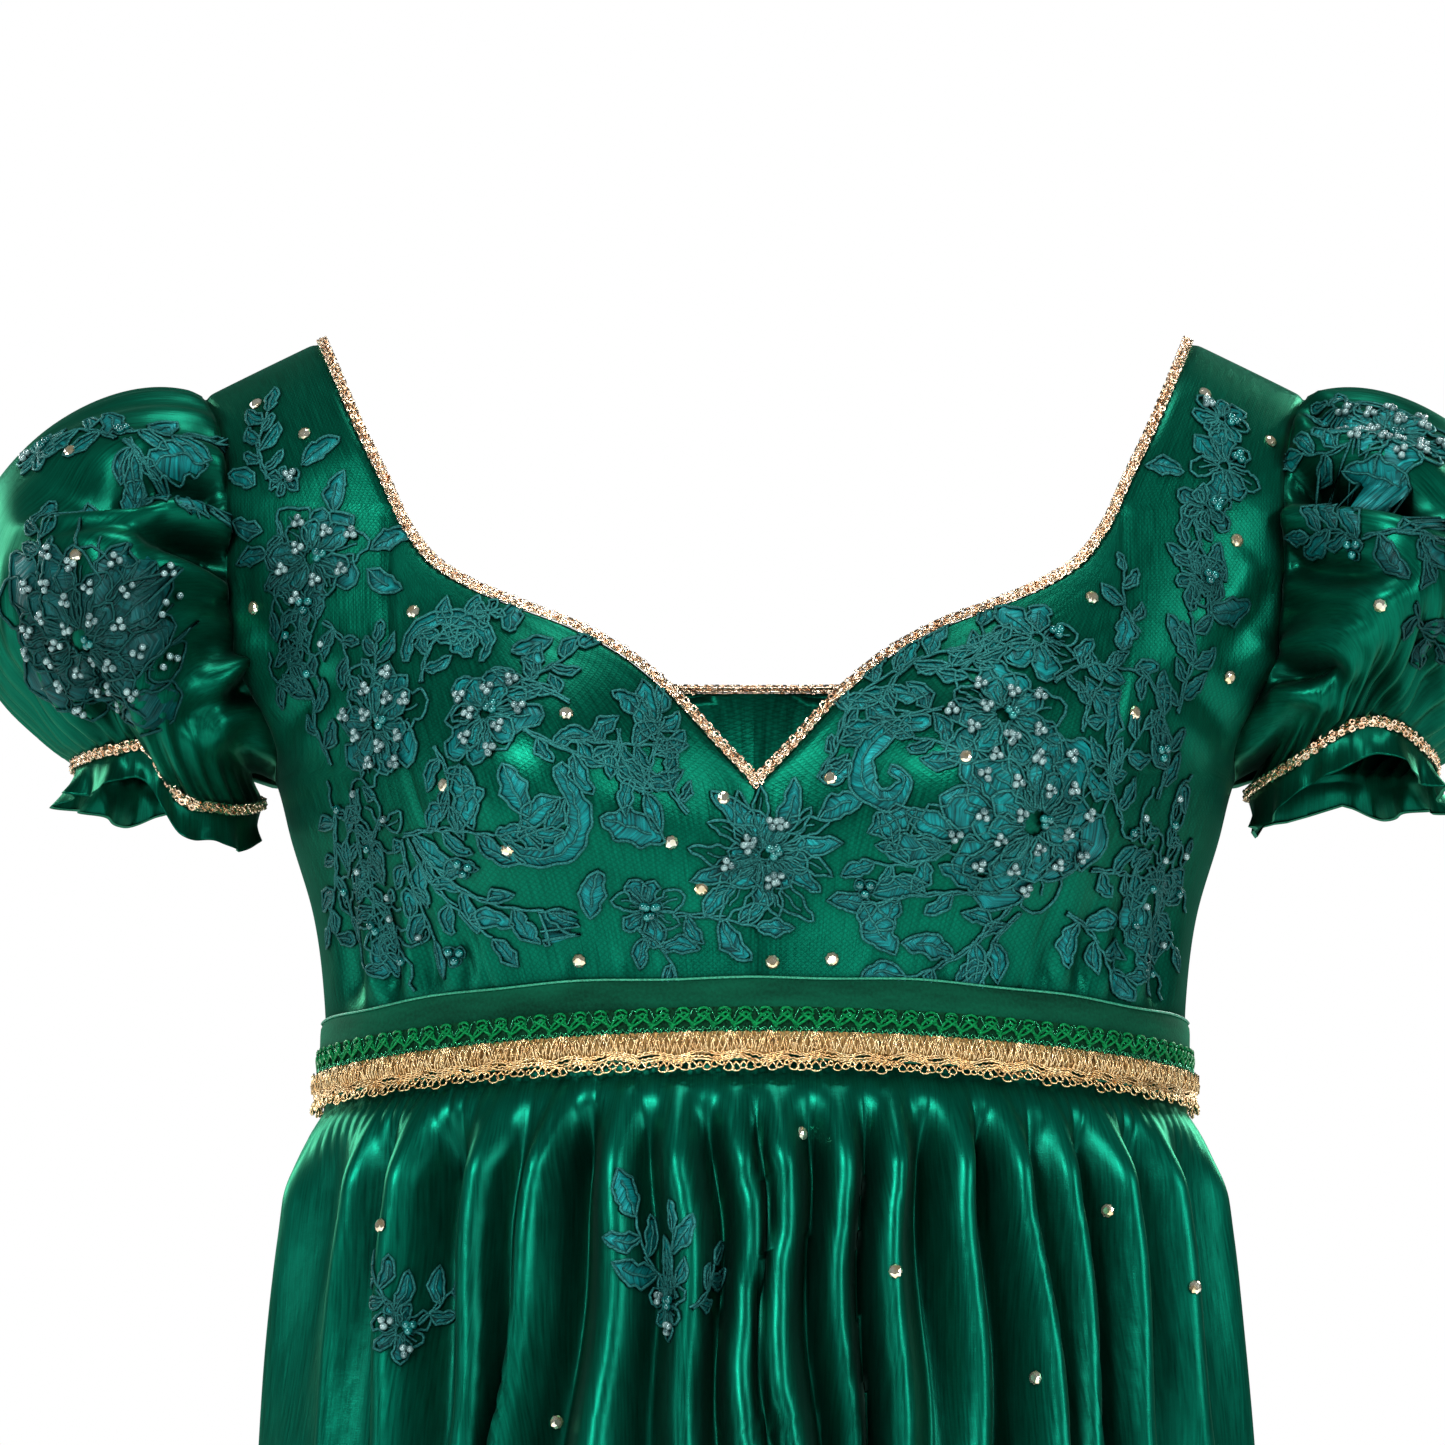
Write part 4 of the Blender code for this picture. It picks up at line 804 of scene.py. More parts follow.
run = waist_run(0.0006, count=520)
rows = np.linspace(0, 1, 15)[:, None]
lapping = 0.0004 * np.sin(run * 46.0) + 0.0003 * np.sin(run * 117.0 + 1.0)
height = RIBBON_BOTTOM * (1 - rows) + RIBBON_TOP * rows + lapping * rows
out = RIBBON_OUT - 0.0009 * (np.exp(-((rows / 0.05) ** 2)) + np.exp(-(((1 - rows) / 0.05) ** 2)))
out = out + 0.0005 * np.sin(run * 31.0 + 2.0 * rows) * np.sin(math.pi * rows)
ribbon_grid = on_waist(run + 0 * rows, height, out)
waist_ribbon = grid_piece("velvet_waist_ribbon", ribbon_grid, velvet_pile, ["waist_ribbon"])
ribbon_edges = tubes(
    "ribbon_selvedges",
    [on_waist(run, RIBBON_TOP + lapping, RIBBON_OUT - 0.0004), on_waist(run, RIBBON_BOTTOM, RIBBON_OUT - 0.0004)],
    0.00042, selvedge_satin, sides=5,
)

# Gimp braid.
# A shiny green cord worked into running loops and small picots on a narrow woven foot, 9 mm wide, with a fine
# metallic thread through it, sewn along the ribbon's lower half.
GIMP_MIDDLE = -0.2352
GIMP_PITCH = 0.0066
GIMP_OUT = 0.0043


def gimp_line(keys, shift):
    """A cord worked through the same few places in every repeat. The keys are the share of a repeat,
    millimetres above the middle and millimetres out."""
    keys = np.array(keys)
    repeats = np.arange(-1, int(WAIST_ROUND / GIMP_PITCH) + 2)
    across = ((repeats[:, None] + keys[None, :, 0]) * GIMP_PITCH).ravel() + shift
    height, out = (np.tile(keys[:, k] * 0.001, len(repeats)) for k in (1, 2))
    order = np.arange(len(across)) / len(keys)
    at = np.arange(0, len(repeats) - 1, 1 / 22)
    across, height, out = (curve_through(order, part, at) for part in (across, height, out))
    inside = (across > 0.0016) & (across < WAIST_ROUND - 0.0016)
    return on_waist(across[inside], GIMP_MIDDLE + height[inside], GIMP_OUT + out[inside])


GIMP_LOOP = (
    (0.02, -2.6, 0.0), (0.30, -1.7, 0.1), (0.66, 0.1, 0.3), (0.88, 1.9, 0.2), (0.66, 3.2, 0.1), (0.36, 2.9, 0.0),
    (0.28, 1.5, -0.1), (0.52, 0.4, 0.0), (0.84, -0.9, 0.2), (1.00, -1.6, 0.1), (1.12, -2.6, 0.0), (1.00, -3.3, 0.0),
)
GIMP_TWINE = (
    (0.00, -0.6, -0.3), (0.25, 0.9, -0.2), (0.45, 1.7, -0.3), (0.60, 0.6, -0.2), (0.72, -1.4, -0.3), (0.86, -2.4, -0.3),
)
gimp_cord = two_tone(
    "gimp_cord", (900.0, 2.0, 0.6, "Object", (1.0, 1.0, 2.4)),
    ((0.30, (0.0, 0.050, 0.014)), (0.70, (0.003, 0.230, 0.062))), (0.0003, 0.7),
    Roughness=0.30, Metallic=0.18, Specular_Tint=(0.10, 0.75, 0.30, 1.0),
)
gimp_glitter = two_tone(
    "gimp_glitter", (2600.0, 1.0, 0.5, "Object"), ((0.40, (0.002, 0.16, 0.06)), (0.66, (0.10, 0.75, 0.40))),
    (0.0006, 1.0), Roughness=0.16, Metallic=0.9,
)
# The foot's near-black green is partly its own dark weave and partly painted shade in the gaps between the loops.
gimp_dark = two_tone(
    "gimp_foot", (1.0, 2.0, 0.5, "UV", (1500.0, 900.0, 1.0)), ((0.3, (0.0, 0.008, 0.003)), (0.7, (0.001, 0.040, 0.015))),
    (0.0003, 0.8), Roughness=0.7, Specular_IOR_Level=0.05,
)
gimp = tubes("gimp_loops", [gimp_line(GIMP_LOOP, 0.0), gimp_line(GIMP_TWINE, 0.0012)], 0.00046, gimp_cord,
             ["waist_gimp"], 5)
foot_rows = np.linspace(-0.0041, 0.0034, 5)[:, None]
foot_grid = on_waist(waist_run(TRIM_START, count=420) + 0 * foot_rows, GIMP_MIDDLE + foot_rows, 0.0037)
gimp_foot = grid_piece("gimp_foot", foot_grid, gimp_dark)
run = waist_run(0.0015, 0.00055)
sparkle = tubes("gimp_metal_thread", [
    on_waist(run, GIMP_MIDDLE + rise + swing * np.sin(run * waves), GIMP_OUT - sunk + 0.0003 * np.cos(run * dips))
    for rise, swing, waves, sunk, dips in (
        (-0.0040, 0.0007, 2400, 0.0001, 1500), (-0.0035, 0.0007, 2900, 0.0001, 1700), (0.0012, 0.0019, 1300, 0.0003, 2100),
    )
], 0.00026, gimp_glitter)

# Gold lace.
# A metal-thread edging gathered along its middle, 12 mm deep, sewn under the gimp: bundles of threads that fan in
# small clusters, two lines of stitching with slits between them, and a row of loops that hangs over the skirt.
LACE_TOP = -0.2397
LACE_LINE = -0.2470
LACE_FOOT = -0.2522
LACE_OUT = 0.0043
CLUSTER = 0.0134

gold = Shader("gold_thread", Roughness=0.27, Metallic=1.0)
strand = gold.noise(1500.0, 2.0, 0.6, "Object")
patch = gold.noise(160.0, 2.0, 0.5, "Object")
gold_shade = gold.mix(0.5, gold.ramp(strand, (0.28, (0.68, 0.38, 0.14)), (0.64, (1.0, 0.80, 0.48))),
                      gold.ramp(patch, (0.35, (0.76, 0.46, 0.19)), (0.60, (1.0, 0.79, 0.46))))
gold_thread = gold.finish(Base_Color=gold_shade, Normal=gold.bump(strand, 0.0003, 0.6))

strand_at = waist_run(0.0016, 0.00098)
shift = np.arange(len(strand_at))
wander = np.sin(shift * 2.399) * 0.5 + np.sin(shift * 1.117) * 0.5
fall = np.linspace(0, 1, 7)
in_cluster = (strand_at % CLUSTER) / CLUSTER - 0.5
strands = []
for at, cluster, stray in zip(strand_at, in_cluster, wander):
    fan = np.sin(cluster * 2 * math.pi) * 0.0017
    lean = fan * (1 - fall) ** 1.3 + stray * 0.0010 * np.sin(math.pi * fall)
    height = (LACE_TOP - 0.0005 * stray) * (1 - fall) + LACE_LINE * fall
    puff = 0.0013 * np.sin(math.pi * fall) * (1.0 + 0.5 * math.cos(cluster * 6.28)) + 0.0003 * stray
    strands.append(on_waist(at + lean, height, LACE_OUT + puff))
run = waist_run(0.0014, 0.0010)
ruched = 0.0006 * np.sin(run * 2 * math.pi / CLUSTER) + 0.0004 * np.sin(run * 190.0)
slit = smooth(np.sin(run * 2 * math.pi / CLUSTER + 2.0 * np.sin(run * 61.0)), 0.1, 0.8)
lines = []
for k, (dip, parting) in enumerate((
    (0.0006, 0.0004), (0.0, 0.0002), (-0.0007, -0.0005), (-0.0013, -0.0008), (-0.0019, -0.0003),
)):
    height = LACE_LINE + ruched + dip + 0.00030 * np.sin(run * 3000 + k)
    lines.append(on_waist(run, height, LACE_OUT + 0.0007 + 0.0004 * np.cos(run * 2500 + k)))
    lines[-1][:, 2] += parting * slit
loop_turn = np.linspace(0, 1, 12)
arch = np.sin(math.pi * loop_turn)
loops = []
for number, start in enumerate(waist_run(0.0022, 0.0023)):
    size = 0.86 + 0.24 * math.sin(number * 2.1) + 0.14 * math.sin(number * 0.7)
    swing = 0.0019 * size * np.sin(2 * math.pi * loop_turn) * (0.6 + 0.5 * arch)
    drop = LACE_LINE - 0.0022 + 0.0004 * math.sin(number * 1.3) - 0.0029 * size * arch ** 1.2
    hang = LACE_OUT + 0.0010 + 0.0008 * arch + 0.0004 * math.sin(number * 2.9)
    loops.append(on_waist(np.clip(start + swing * 0.8, 0.001, WAIST_ROUND - 0.001), drop, hang))
fan_lines = []
for phase in (0.0, 0.5):
    zigzag = np.abs(((run / CLUSTER * 3 + phase) % 1.0) * 2 - 1)
    height = LACE_TOP * (1 - zigzag) + (LACE_LINE + 0.0006) * zigzag
    fan_lines.append(on_waist(run, height, LACE_OUT + 0.0016 + 0.0003 * np.sin(run * 900)))
gold_lace = tubes("gold_lace_threads", strands + fan_lines, 0.00027, gold_thread, ["waist_gold_lace"])
gold_edge = tubes("gold_lace_loops", loops + lines, 0.00036, gold_thread)
ground_run = waist_run(TRIM_START, count=380)
ground_rows = np.linspace(0, 1, 7)[:, None]
ground_height = LACE_LINE * (1 - ground_rows) + LACE_TOP * ground_rows
ground_out = 0.0040 + 0.0007 * np.sin(ground_run * 2 * math.pi / CLUSTER * 3) * np.sin(math.pi * ground_rows)
# A sheet behind the threads fills the gaps between them; its darker gold is painted shade there.
gold_shadow = two_tone(
    "gold_ground", (1.0, 2.0, 0.6, "UV", (1400.0, 260.0, 1.0)),
    ((0.3, (0.14, 0.075, 0.020)), (0.7, (0.70, 0.45, 0.17))), (0.0005, 0.9), Roughness=0.45, Metallic=0.9,
)
ground_grid = on_waist(ground_run + 0 * ground_rows, ground_height, ground_out)
gold_ground = grid_piece("gold_lace_ground", ground_grid, gold_shadow)

# Neck and cuff braid.
# A narrow rose-gold braid, 3.5 mm wide, of two rows of small bright links on a core thread. It is sewn over the
# neckline's edge, across the shoulders and round the back neck, and on top of each sleeve's elastic.
LINK_PITCH = 0.00185
LINK_RADIUS = 0.00088
LINK_WIRE = 0.00040

rose = Shader("rose_gold", Roughness=0.15, Metallic=1.0)
tarnish = rose.noise(420.0, 2.0, 0.5, "Object")
glint = rose.noise(2200.0, 1.0, 0.5, "Object")
rose_gold = rose.finish(
    Base_Color=rose.ramp(tarnish, (0.32, (0.66, 0.40, 0.24)), (0.62, (1.0, 0.82, 0.62))),
    Normal=rose.bump(glint, 0.0005, 0.5),
)


def link_shape(sides=6, wire=4):
    """One small ring, a little squared, as points and faces."""
    around = np.linspace(0, 2 * math.pi, sides, endpoint=False)
    through = np.linspace(0, 2 * math.pi, wire, endpoint=False) + math.pi / 4
    reach = LINK_RADIUS + LINK_WIRE * np.cos(through)
    points = np.stack([
        np.cos(around)[:, None] * reach * 1.12, np.sin(around)[:, None] * reach,
        np.tile(LINK_WIRE * np.sin(through), (sides, 1)),
    ], axis=-1).reshape(-1, 3)
    return points, grid_faces(sides + 1, wire, ring=True) % (sides * wire)


def copies(name, shape, places, frames, material, stands_for=(), sizes=1.0, flat=False):
    """One shape set down at many places, each with its own three directions, joined in one piece."""
    points, faces = shape
    places = np.asarray(places, float)
    sizes = np.broadcast_to(sizes, len(places))[:, None, None]
    moved = np.einsum("pk,nkj->npj", points, np.asarray(frames, float)) * sizes + places[:, None]
    starts = np.arange(len(places))[:, None, None] * len(points)
    faces = (faces[None] + starts).reshape(-1, faces.shape[1])
    return mesh_piece(name, moved, faces, material, stands_for, flat=flat)


def braid(name, stands_for, line, normal, away, ring):
    """Two rows of links along a line, lying on the cloth and tipped to and fro."""
    steps = max(2, round(run_along(line)[-1] / LINK_PITCH))
    line, normal, away = evenly(steps, line, normal, away)
    ahead = np.gradient(line, axis=0)
    if ring:
        line, normal, ahead = (part[:-1] for part in (line, normal, ahead))
    ahead = unit(ahead)
    normal = unit(normal - ahead * np.sum(normal * ahead, axis=-1, keepdims=True))
    beside = np.cross(ahead, normal)
    places, frames = [], []
    step = np.arange(len(line))
    for row, sway in ((-1, 0.0), (1, 0.5)):
        tip = (0.45 * np.where(step % 2 == 0, 1, -1) * row + 0.15 * np.sin(step * 1.7))[:, None]
        lay = unit(beside * np.cos(tip) + normal * np.sin(tip))
        raised = normal * (0.0003 + 0.0002 * np.sin(step * 2.3))[:, None]
        places.append(line + beside * 0.00086 * row + ahead * LINK_PITCH * sway + raised)
        frames.append(np.stack([ahead, lay, np.cross(ahead, lay)], axis=1))
    sizes = np.tile(1 + 0.08 * np.sin(step * 3.1), 2)
    links = copies(name, link_shape(), np.concatenate(places), np.concatenate(frames), rose_gold,
                   [stands_for], sizes, True)
    core = tubes(name + "_core", [line - normal * 0.0004 + beside * side for side in (0.0006, -0.0006)],
                 0.00055, rose_gold, normals=[normal, normal], closed=ring)
    return [links, core]


def neck_line():
    """The braid's middle line just off the neckline, from the centre back by the right to the centre back."""
    turn, climb = edge_line(NECK_FRONT, NECK_BACK, False)
    line, normal = form_point(turn, climb), form_outward(turn, climb)
    normal[0] = (0.0, -1.0, 0.0)
    away = unit(np.cross(normal, np.gradient(line, axis=0)))
    line = line + normal * 0.0014 + away * 0.0014
    line[0] = line[1] * (0, 1, 1) + np.array((0.0, 0.0, 0.0004))
    return [np.concatenate([mirrored(part[:0:-1]), part]) for part in (line, normal, away)]


neck_braid = braid("neck_braid_links", "neck_braid", *neck_line(), False)
for side, (cuff, away) in sleeve_cuffs.items():
    cuff, away = (np.concatenate([part, part[:1]]) for part in (cuff, away))
    braid(f"cuff_braid_links_{side}", f"cuff_braid_{side}", cuff + away * 0.0016, away, away, True)

# Corded lace.
# Flower and leaf motifs cut from a teal corded lace and sewn down by hand. Thread fills the leaves, a firm cord
# outlines every shape and makes the stems, and clear-lined beads and small teal pearls are sewn on in pairs.
CORD = 0.00058
BEAD = 0.00132
PEARL = 0.00150
MOTIFS = {
    "blossom": "across height radius petals layers beads turn",
    "spray": "across height angle length leaves leaf_length",
    "single_leaf": "across height angle length",
    "berries": "across height radius",
    "bramble": "across height half_width half_height count",
    "scroll": "width points",
}
MOTIF_COUNTS = "petals layers beads turn angle leaves count points"
RIGHT_BODICE_LACE = (
    ("spray", (
        (-108, -118, 60, 26, 5, 13), (-104, -140, -75, 20, 4, 13), (-75, -136, -20, 30, 5, 14),
        (-60, -126, 150, 20, 4, 12), (-45, -135, -60, 22, 4, 13), (-22, -161, 112, 20, 4, 11),
        (-138, -155, -100, 45, 7, 12), (-130, -150, -80, 45, 7, 11), (-122, -160, -95, 42, 6, 11),
        (-150, -85, -110, 30, 5, 11), (-158, -60, -95, 30, 5, 10), (-142, -95, -60, 22, 4, 11),
    )),
    ("blossom", (
        (-123, -130, 21.4, 9, 2, 24, 0.2), (-87, -130, 18, 8, 2, 18, 0.6), (-146, -73, 20.2, 9, 2, 18, 0.1),
        (-156, -46, 6.3, 6, 1, 2, 0.4), (-87, -95, 6.1, 5, 1, 1, 0.9), (-35, -192, 12.3, 7, 1, 0, 0.3),
    )),
    ("spray", (
        (-124, -120, 92, 17, 5, 10.5), (-139, -141, 116, 42, 7, 13.1), (-81, -122, 38, 29, 5, 13.1),
        (-37, -156, 72, 28, 6, 14.8), (-114, -167, 14, 40, 6, 18.4), (-115, -168, -66, 35, 4, 12.2),
        (-113, -168, -42, 42, 5, 14.8), (-111, -168, -20, 47, 6, 15.6), (-161, -45, 98, 29, 7, 11.7),
        (-63, -139, 4, 31, 5, 16.6), (-27, -194, -8, 27, 5, 15.6), (-39, -198, -50, 22, 4, 12.2),
    )),
    ("single_leaf", (
        (-80, -102, 80, 14.2), (-79, -109, 22, 14.2), (-92, -110, 124, 13.4), (-95, -146, -84, 20.8),
        (-81, -147, -66, 18.3), (-50, -164, -22, 23.3), (-51, -180, -98, 17.4), (-33, -132, 104, 15.1),
        (-35, -132, 142, 15.1), (-150, -41, 32, 15.5), (-166, -47, 146, 13.7), (-163, -63, 156, 12.9),
        (-161, -71, 186, 12.9), (-126, -71, 18, 14.6), (-127, -78, -36, 14.6), (-139, -58, 78, 14.6),
        (-63, -158, -140, 16.6),
    )),
    ("berries", (
        (-94, -178, 4.2), (-98, -205, 3.5), (-148, -89, 3.6), (-34, -192, 3.8),
    )),
    ("bramble", (
        (-127, -173, 11, 24, 16), (-148, -104, 9, 11, 7), (-117, -199, 11, 10, 8),
    )),
    ("scroll", (
        (5.6, ((-115, -108), (-113, -99), (-104, -95), (-93, -98), (-86, -107), (-88, -115))),
        (8, ((-64, -148), (-59, -157), (-57, -168), (-64, -177), (-76, -177), (-81, -171))),
    )),
)
CENTRE_LACE = (
    ("blossom", (
        (3, -174, 25, 17, 1, 10, 0.1), (3, -174, 14.1, 9, 1, 8, 0.4),
    )),
)
LEFT_BODICE_LACE = (
    ("spray", (
        (60, -128, 165, 22, 4, 13), (72, -150, 150, 24, 5, 13), (110, -150, 35, 28, 5, 12),
        (108, -178, -25, 30, 5, 13), (105, -135, 60, 26, 5, 12), (62, -172, 200, 26, 5, 13),
        (128, -175, -92, 36, 6, 12), (136, -165, -88, 40, 6, 11), (125, -100, 100, 22, 4, 10),
        (147, -50, -80, 30, 5, 10), (52, -116, 20, 30, 5, 11), (20, -150, 60, 18, 4, 10),
    )),
    ("blossom", (
        (79, -131, 22.1, 9, 2, 22, 0.3), (89, -165, 34.4, 12, 3, 40, 0.1), (91, -104, 16.5, 7, 1, 3, 0.5),
        (145, -80, 10.1, 8, 1, 2, 0.2), (155, -24, 11.4, 8, 1, 4, 0.0), (155, -41, 15.2, 7, 1, 2, 0.7),
        (148, -56, 10.1, 6, 2, 2, 0.4),
    )),
    ("spray", (
        (26, -139, 52, 30, 5, 14.8), (40, -126, 34, 33, 6, 14), (67, -115, 72, 19, 4, 13.1),
        (96, -119, 24, 33, 5, 12.2), (124, -111, -52, 22, 4, 13.1), (82, -190, 206, 49, 6, 17.4),
        (78, -186, 184, 40, 5, 15.6), (85, -192, 238, 27, 4, 13.1), (119, -162, 94, 34, 6, 15.6),
        (131, -153, 82, 27, 5, 14), (149, -93, 104, 24, 5, 12.5), (138, -125, 78, 34, 6, 13.3),
        (100, -192, -56, 30, 5, 15.6),
    )),
    ("single_leaf", (
        (36, -168, 28, 18.3), (48, -162, -24, 19.1), (41, -174, 8, 21.6), (34, -189, -58, 20.8),
        (37, -187, 12, 18.3), (118, -106, 76, 15.1), (121, -184, -82, 22.5), (149, -91, 12, 17.9),
        (143, -109, 100, 14.6), (141, -44, 176, 12.9), (20, -163, 20, 16.6),
    )),
    ("berries", (
        (35, -185, 3.8), (132, -138, 3.6),
    )),
    ("bramble", (
        (129, -185, 8, 27, 16), (139, -168, 4, 19, 8),
    )),
    ("scroll", (
        (8.4, ((56, -133), (42, -135), (34, -143), (34, -153), (43, -158), (48, -152), (43, -148))),
    )),
)
LEFT_SLEEVE_LACE = (
    ("blossom", (
        (211, -29, 25.7, 11, 2, 34, 0.2),
    )),
    ("spray", (
        (197, -33, 184, 18, 4, 15.5), (200, -22, 118, 16, 4, 12.8), (199, -70, 172, 23, 6, 14.6),
        (199, -68, -18, 36, 6, 17.3), (215, -90, -58, 20, 4, 13.6),
    )),
    ("single_leaf", (
        (195, -42, -8, 26.1),
    )),
    ("berries", (
        (196, -71, 3.7),
    )),
)
RIGHT_SLEEVE_LACE = (
    ("blossom", (
        (-220, -101, 37.1, 13, 3, 60, 0.2), (-240, -33, 11.1, 7, 1, 4, 0.2),
    )),
    ("spray", (
        (-212, -31, 152, 23, 5, 16.3), (-209, -29, 18, 24, 5, 16.3), (-208, -32, -32, 29, 6, 19),
        (-210, -32, -72, 17, 4, 14.6), (-233, -79, 124, 21, 5, 12.6),
    )),
    ("berries", (
        (-211, -28, 3),
    )),
)
SKIRT_LACE = (
    ("blossom", (
        (-28, -319, 11.4, 7, 1, 6, 0.3),
    )),
    ("spray", (
        (-26, -316, 132, 33, 5, 18.2), (-23, -318, 98, 21, 4, 13.9), (-21, -321, 48, 20, 4, 12.1),
    )),
    ("blossom", (
        (-114, -327, 10.6, 7, 1, 6, 0.3),
    )),
    ("spray", (
        (-114, -324, 128, 22, 5, 12.9), (-110, -324, 50, 18, 4, 12.1),
    )),
)


def turned(flat, angle):
    c, s = math.cos(angle), math.sin(angle)
    return np.asarray(flat, float) @ np.array(((c, s), (-s, c)))


class Applique:
    """Lace on one stretch of the gown. Each motif is drawn flat, and every point is laid down on the cloth."""

    def __init__(self, cloths, gathered=None):
        self.gathered = gathered
        if gathered is not None:
            self.over = -unit(np.cross(np.gradient(gathered, axis=0), np.gradient(gathered, axis=1)))
            steps = np.linalg.norm(np.diff(gathered, axis=1), axis=-1)
            self.wide = np.concatenate([np.zeros((len(gathered), 1)), np.cumsum(steps, axis=1)], axis=1)
        points, faces = [], []
        for cloth in cloths:
            start = len(points)
            points += [v.co.copy() for v in cloth.data.vertices]
            faces += [[start + v for v in face.vertices] for face in cloth.data.polygons]
        self.tree = BVHTree.FromPolygons(points, faces)
        self.cords, self.cord_normals, self.cord_closed, self.cord_radius = [], [], [], []
        self.pads, self.beads, self.pearls = [], [], []
        self.drawn = 0

    def open(self, across, height):
        """Starts a motif at a place, flat to the cloth's general lie there."""
        hits = []
        for dx, dz in ((0, 0), (0.007, 0), (-0.007, 0), (0, 0.007), (0, -0.007)):
            hit, normal, _, _ = self.tree.ray_cast(Vector((across + dx, -1.0, height + dz)), Vector((0, 1, 0)))
            if hit is not None:
                hits.append((hit, normal if normal.y < 0 else -normal))
        out = Vector(unit(np.mean([np.array(n) for _, n in hits], axis=0)))
        middle = hits[0][0]
        beside = (Vector((1, 0, 0)) - out * out.x).normalized()
        self.middle, self.out, self.beside, self.above = middle, out, beside, out.cross(beside)
        self.drawn += 1
        if self.gathered is not None:
            gaps = np.linalg.norm(self.gathered - np.array(middle), axis=-1)
            self.row, self.column = np.unravel_index(int(np.argmin(gaps)), gaps.shape)

    def lay_along(self, flat, lift):
        """Lays points along gathered cloth by the cloth's own measures, as lace sewn on before it was gathered."""
        spots, lies = [], []
        heights = self.gathered[:, self.column, 2]
        for (a, b), up in zip(flat.reshape(-1, 2), lift):
            row = np.interp(heights[self.row] + b, heights, np.arange(len(heights)))
            low = min(int(row), len(heights) - 2)
            found = []
            for r in (low, low + 1):
                across = np.interp(self.wide[r, self.column] + a, self.wide[r], np.arange(self.wide.shape[1]))
                c = min(int(across), self.wide.shape[1] - 2)
                part = across - c
                found.append([g[r, c] * (1 - part) + g[r, c + 1] * part for g in (self.gathered, self.over)])
            spot, lie = (x * (1 - row + low) + y * (row - low) for x, y in zip(*found))
            spots.append(spot + lie * up)
            lies.append(lie)
        return np.array(spots), unit(np.array(lies))

    def lay(self, flat, lift):
        flat = np.asarray(flat, float)
        lift = np.broadcast_to(lift, flat.shape[:-1]).ravel()
        if self.gathered is not None:
            return self.lay_along(flat, lift)
        spots, lies = [], []
        for (a, b), up in zip(flat.reshape(-1, 2), lift):
            over = self.middle + self.beside * a + self.above * b
            hit, normal, _, _ = self.tree.ray_cast(over + self.out * 0.02, -self.out, 0.045)
            if hit is None:
                hit, normal, _, _ = self.tree.find_nearest(over)
            if normal.dot(self.out) < 0:
                normal = -normal
            lie = (normal + self.out * 0.6).normalized()
            spots.append(hit + lie * up)
            lies.append(lie)
        return np.array(spots), np.array(lies)

    def cord(self, flat, closed=False, radius=CORD, lift=0.0):
        flat = np.asarray(flat, float)
        step = np.arange(len(flat)) * 1.0
        waver = np.stack([np.sin(step * 1.55 + self.drawn * 2.3), np.cos(step * 1.25 + self.drawn * 1.7)], axis=-1)
        line, lies = self.lay(flat + waver * 0.00030, radius * 0.85 + lift)
        self.cords.append(line)
        self.cord_normals.append(lies)
        self.cord_closed.append(closed)
        self.cord_radius.append(radius)
        self.drawn += 1

    def pad(self, grid, lift=0.0):
        """Thread fill over a grid of points, raised a little along its middle."""
        rows = np.linspace(-1, 1, len(grid))[:, None] + np.zeros(grid.shape[:2])
        spots, _ = self.lay(grid, 0.00015 + lift + 0.00045 * (1 - rows**2))
        run = np.concatenate([[0.0], np.cumsum(np.linalg.norm(np.diff(grid[len(grid) // 2], axis=0), axis=-1))])
        uv = np.stack([run[None] + np.abs(rows) * 0.0022, rows * 0.003 + self.drawn * 0.0137], axis=-1)
        self.pads.append((spots.reshape(grid.shape[0], grid.shape[1], 3), uv))

    def leaf(self, root, angle, length, width=0.40, bend=0.16, filled=True, blunt=False, lift=0.0):
        t = np.linspace(0, 1, max(8, int(length / 0.00125)))
        spine = np.stack([length * t, length * bend * np.sin(math.pi * t) * 0.5], axis=-1)
        swell = np.sin(math.pi * t**1.25) ** 0.60 if blunt else np.sin(math.pi * t**0.92) ** 0.72
        ragged = 1 + 0.13 * np.sin(t * 16.0 + self.drawn) + 0.07 * np.sin(t * 29.0 + self.drawn * 1.7)
        side = np.stack([0 * t, length * width * 0.5 * swell * ragged], axis=-1)
        edge = np.concatenate([spine + side, (spine - side)[-2:0:-1]])
        root = np.asarray(root, float)
        if filled:
            across = np.linspace(-0.92, 0.92, 5)[:, None, None]
            self.pad(root + turned(spine[::2][None] + across * side[::2][None], angle), lift)
        self.cord(root + turned(edge, angle), True, lift=lift)
        rib = spine[: int(len(t) * 0.8)]
        self.cord(root + turned(rib, angle), False, CORD * 0.75, lift + 0.00035 * filled)
        if blunt:
            count = len(rib) * 3 // 4
            for half in (0.5, -0.5):
                self.cord(root + turned(rib[:count] + side[:count] * half, angle), False, CORD * 0.6, lift)

    def bead(self, flat, kind, lift=0.0):
        size = PEARL if kind == "pearl" else BEAD
        spots, lies = self.lay([flat], size * 0.75 + lift)
        (self.pearls if kind == "pearl" else self.beads).append((spots[0], lies[0]))

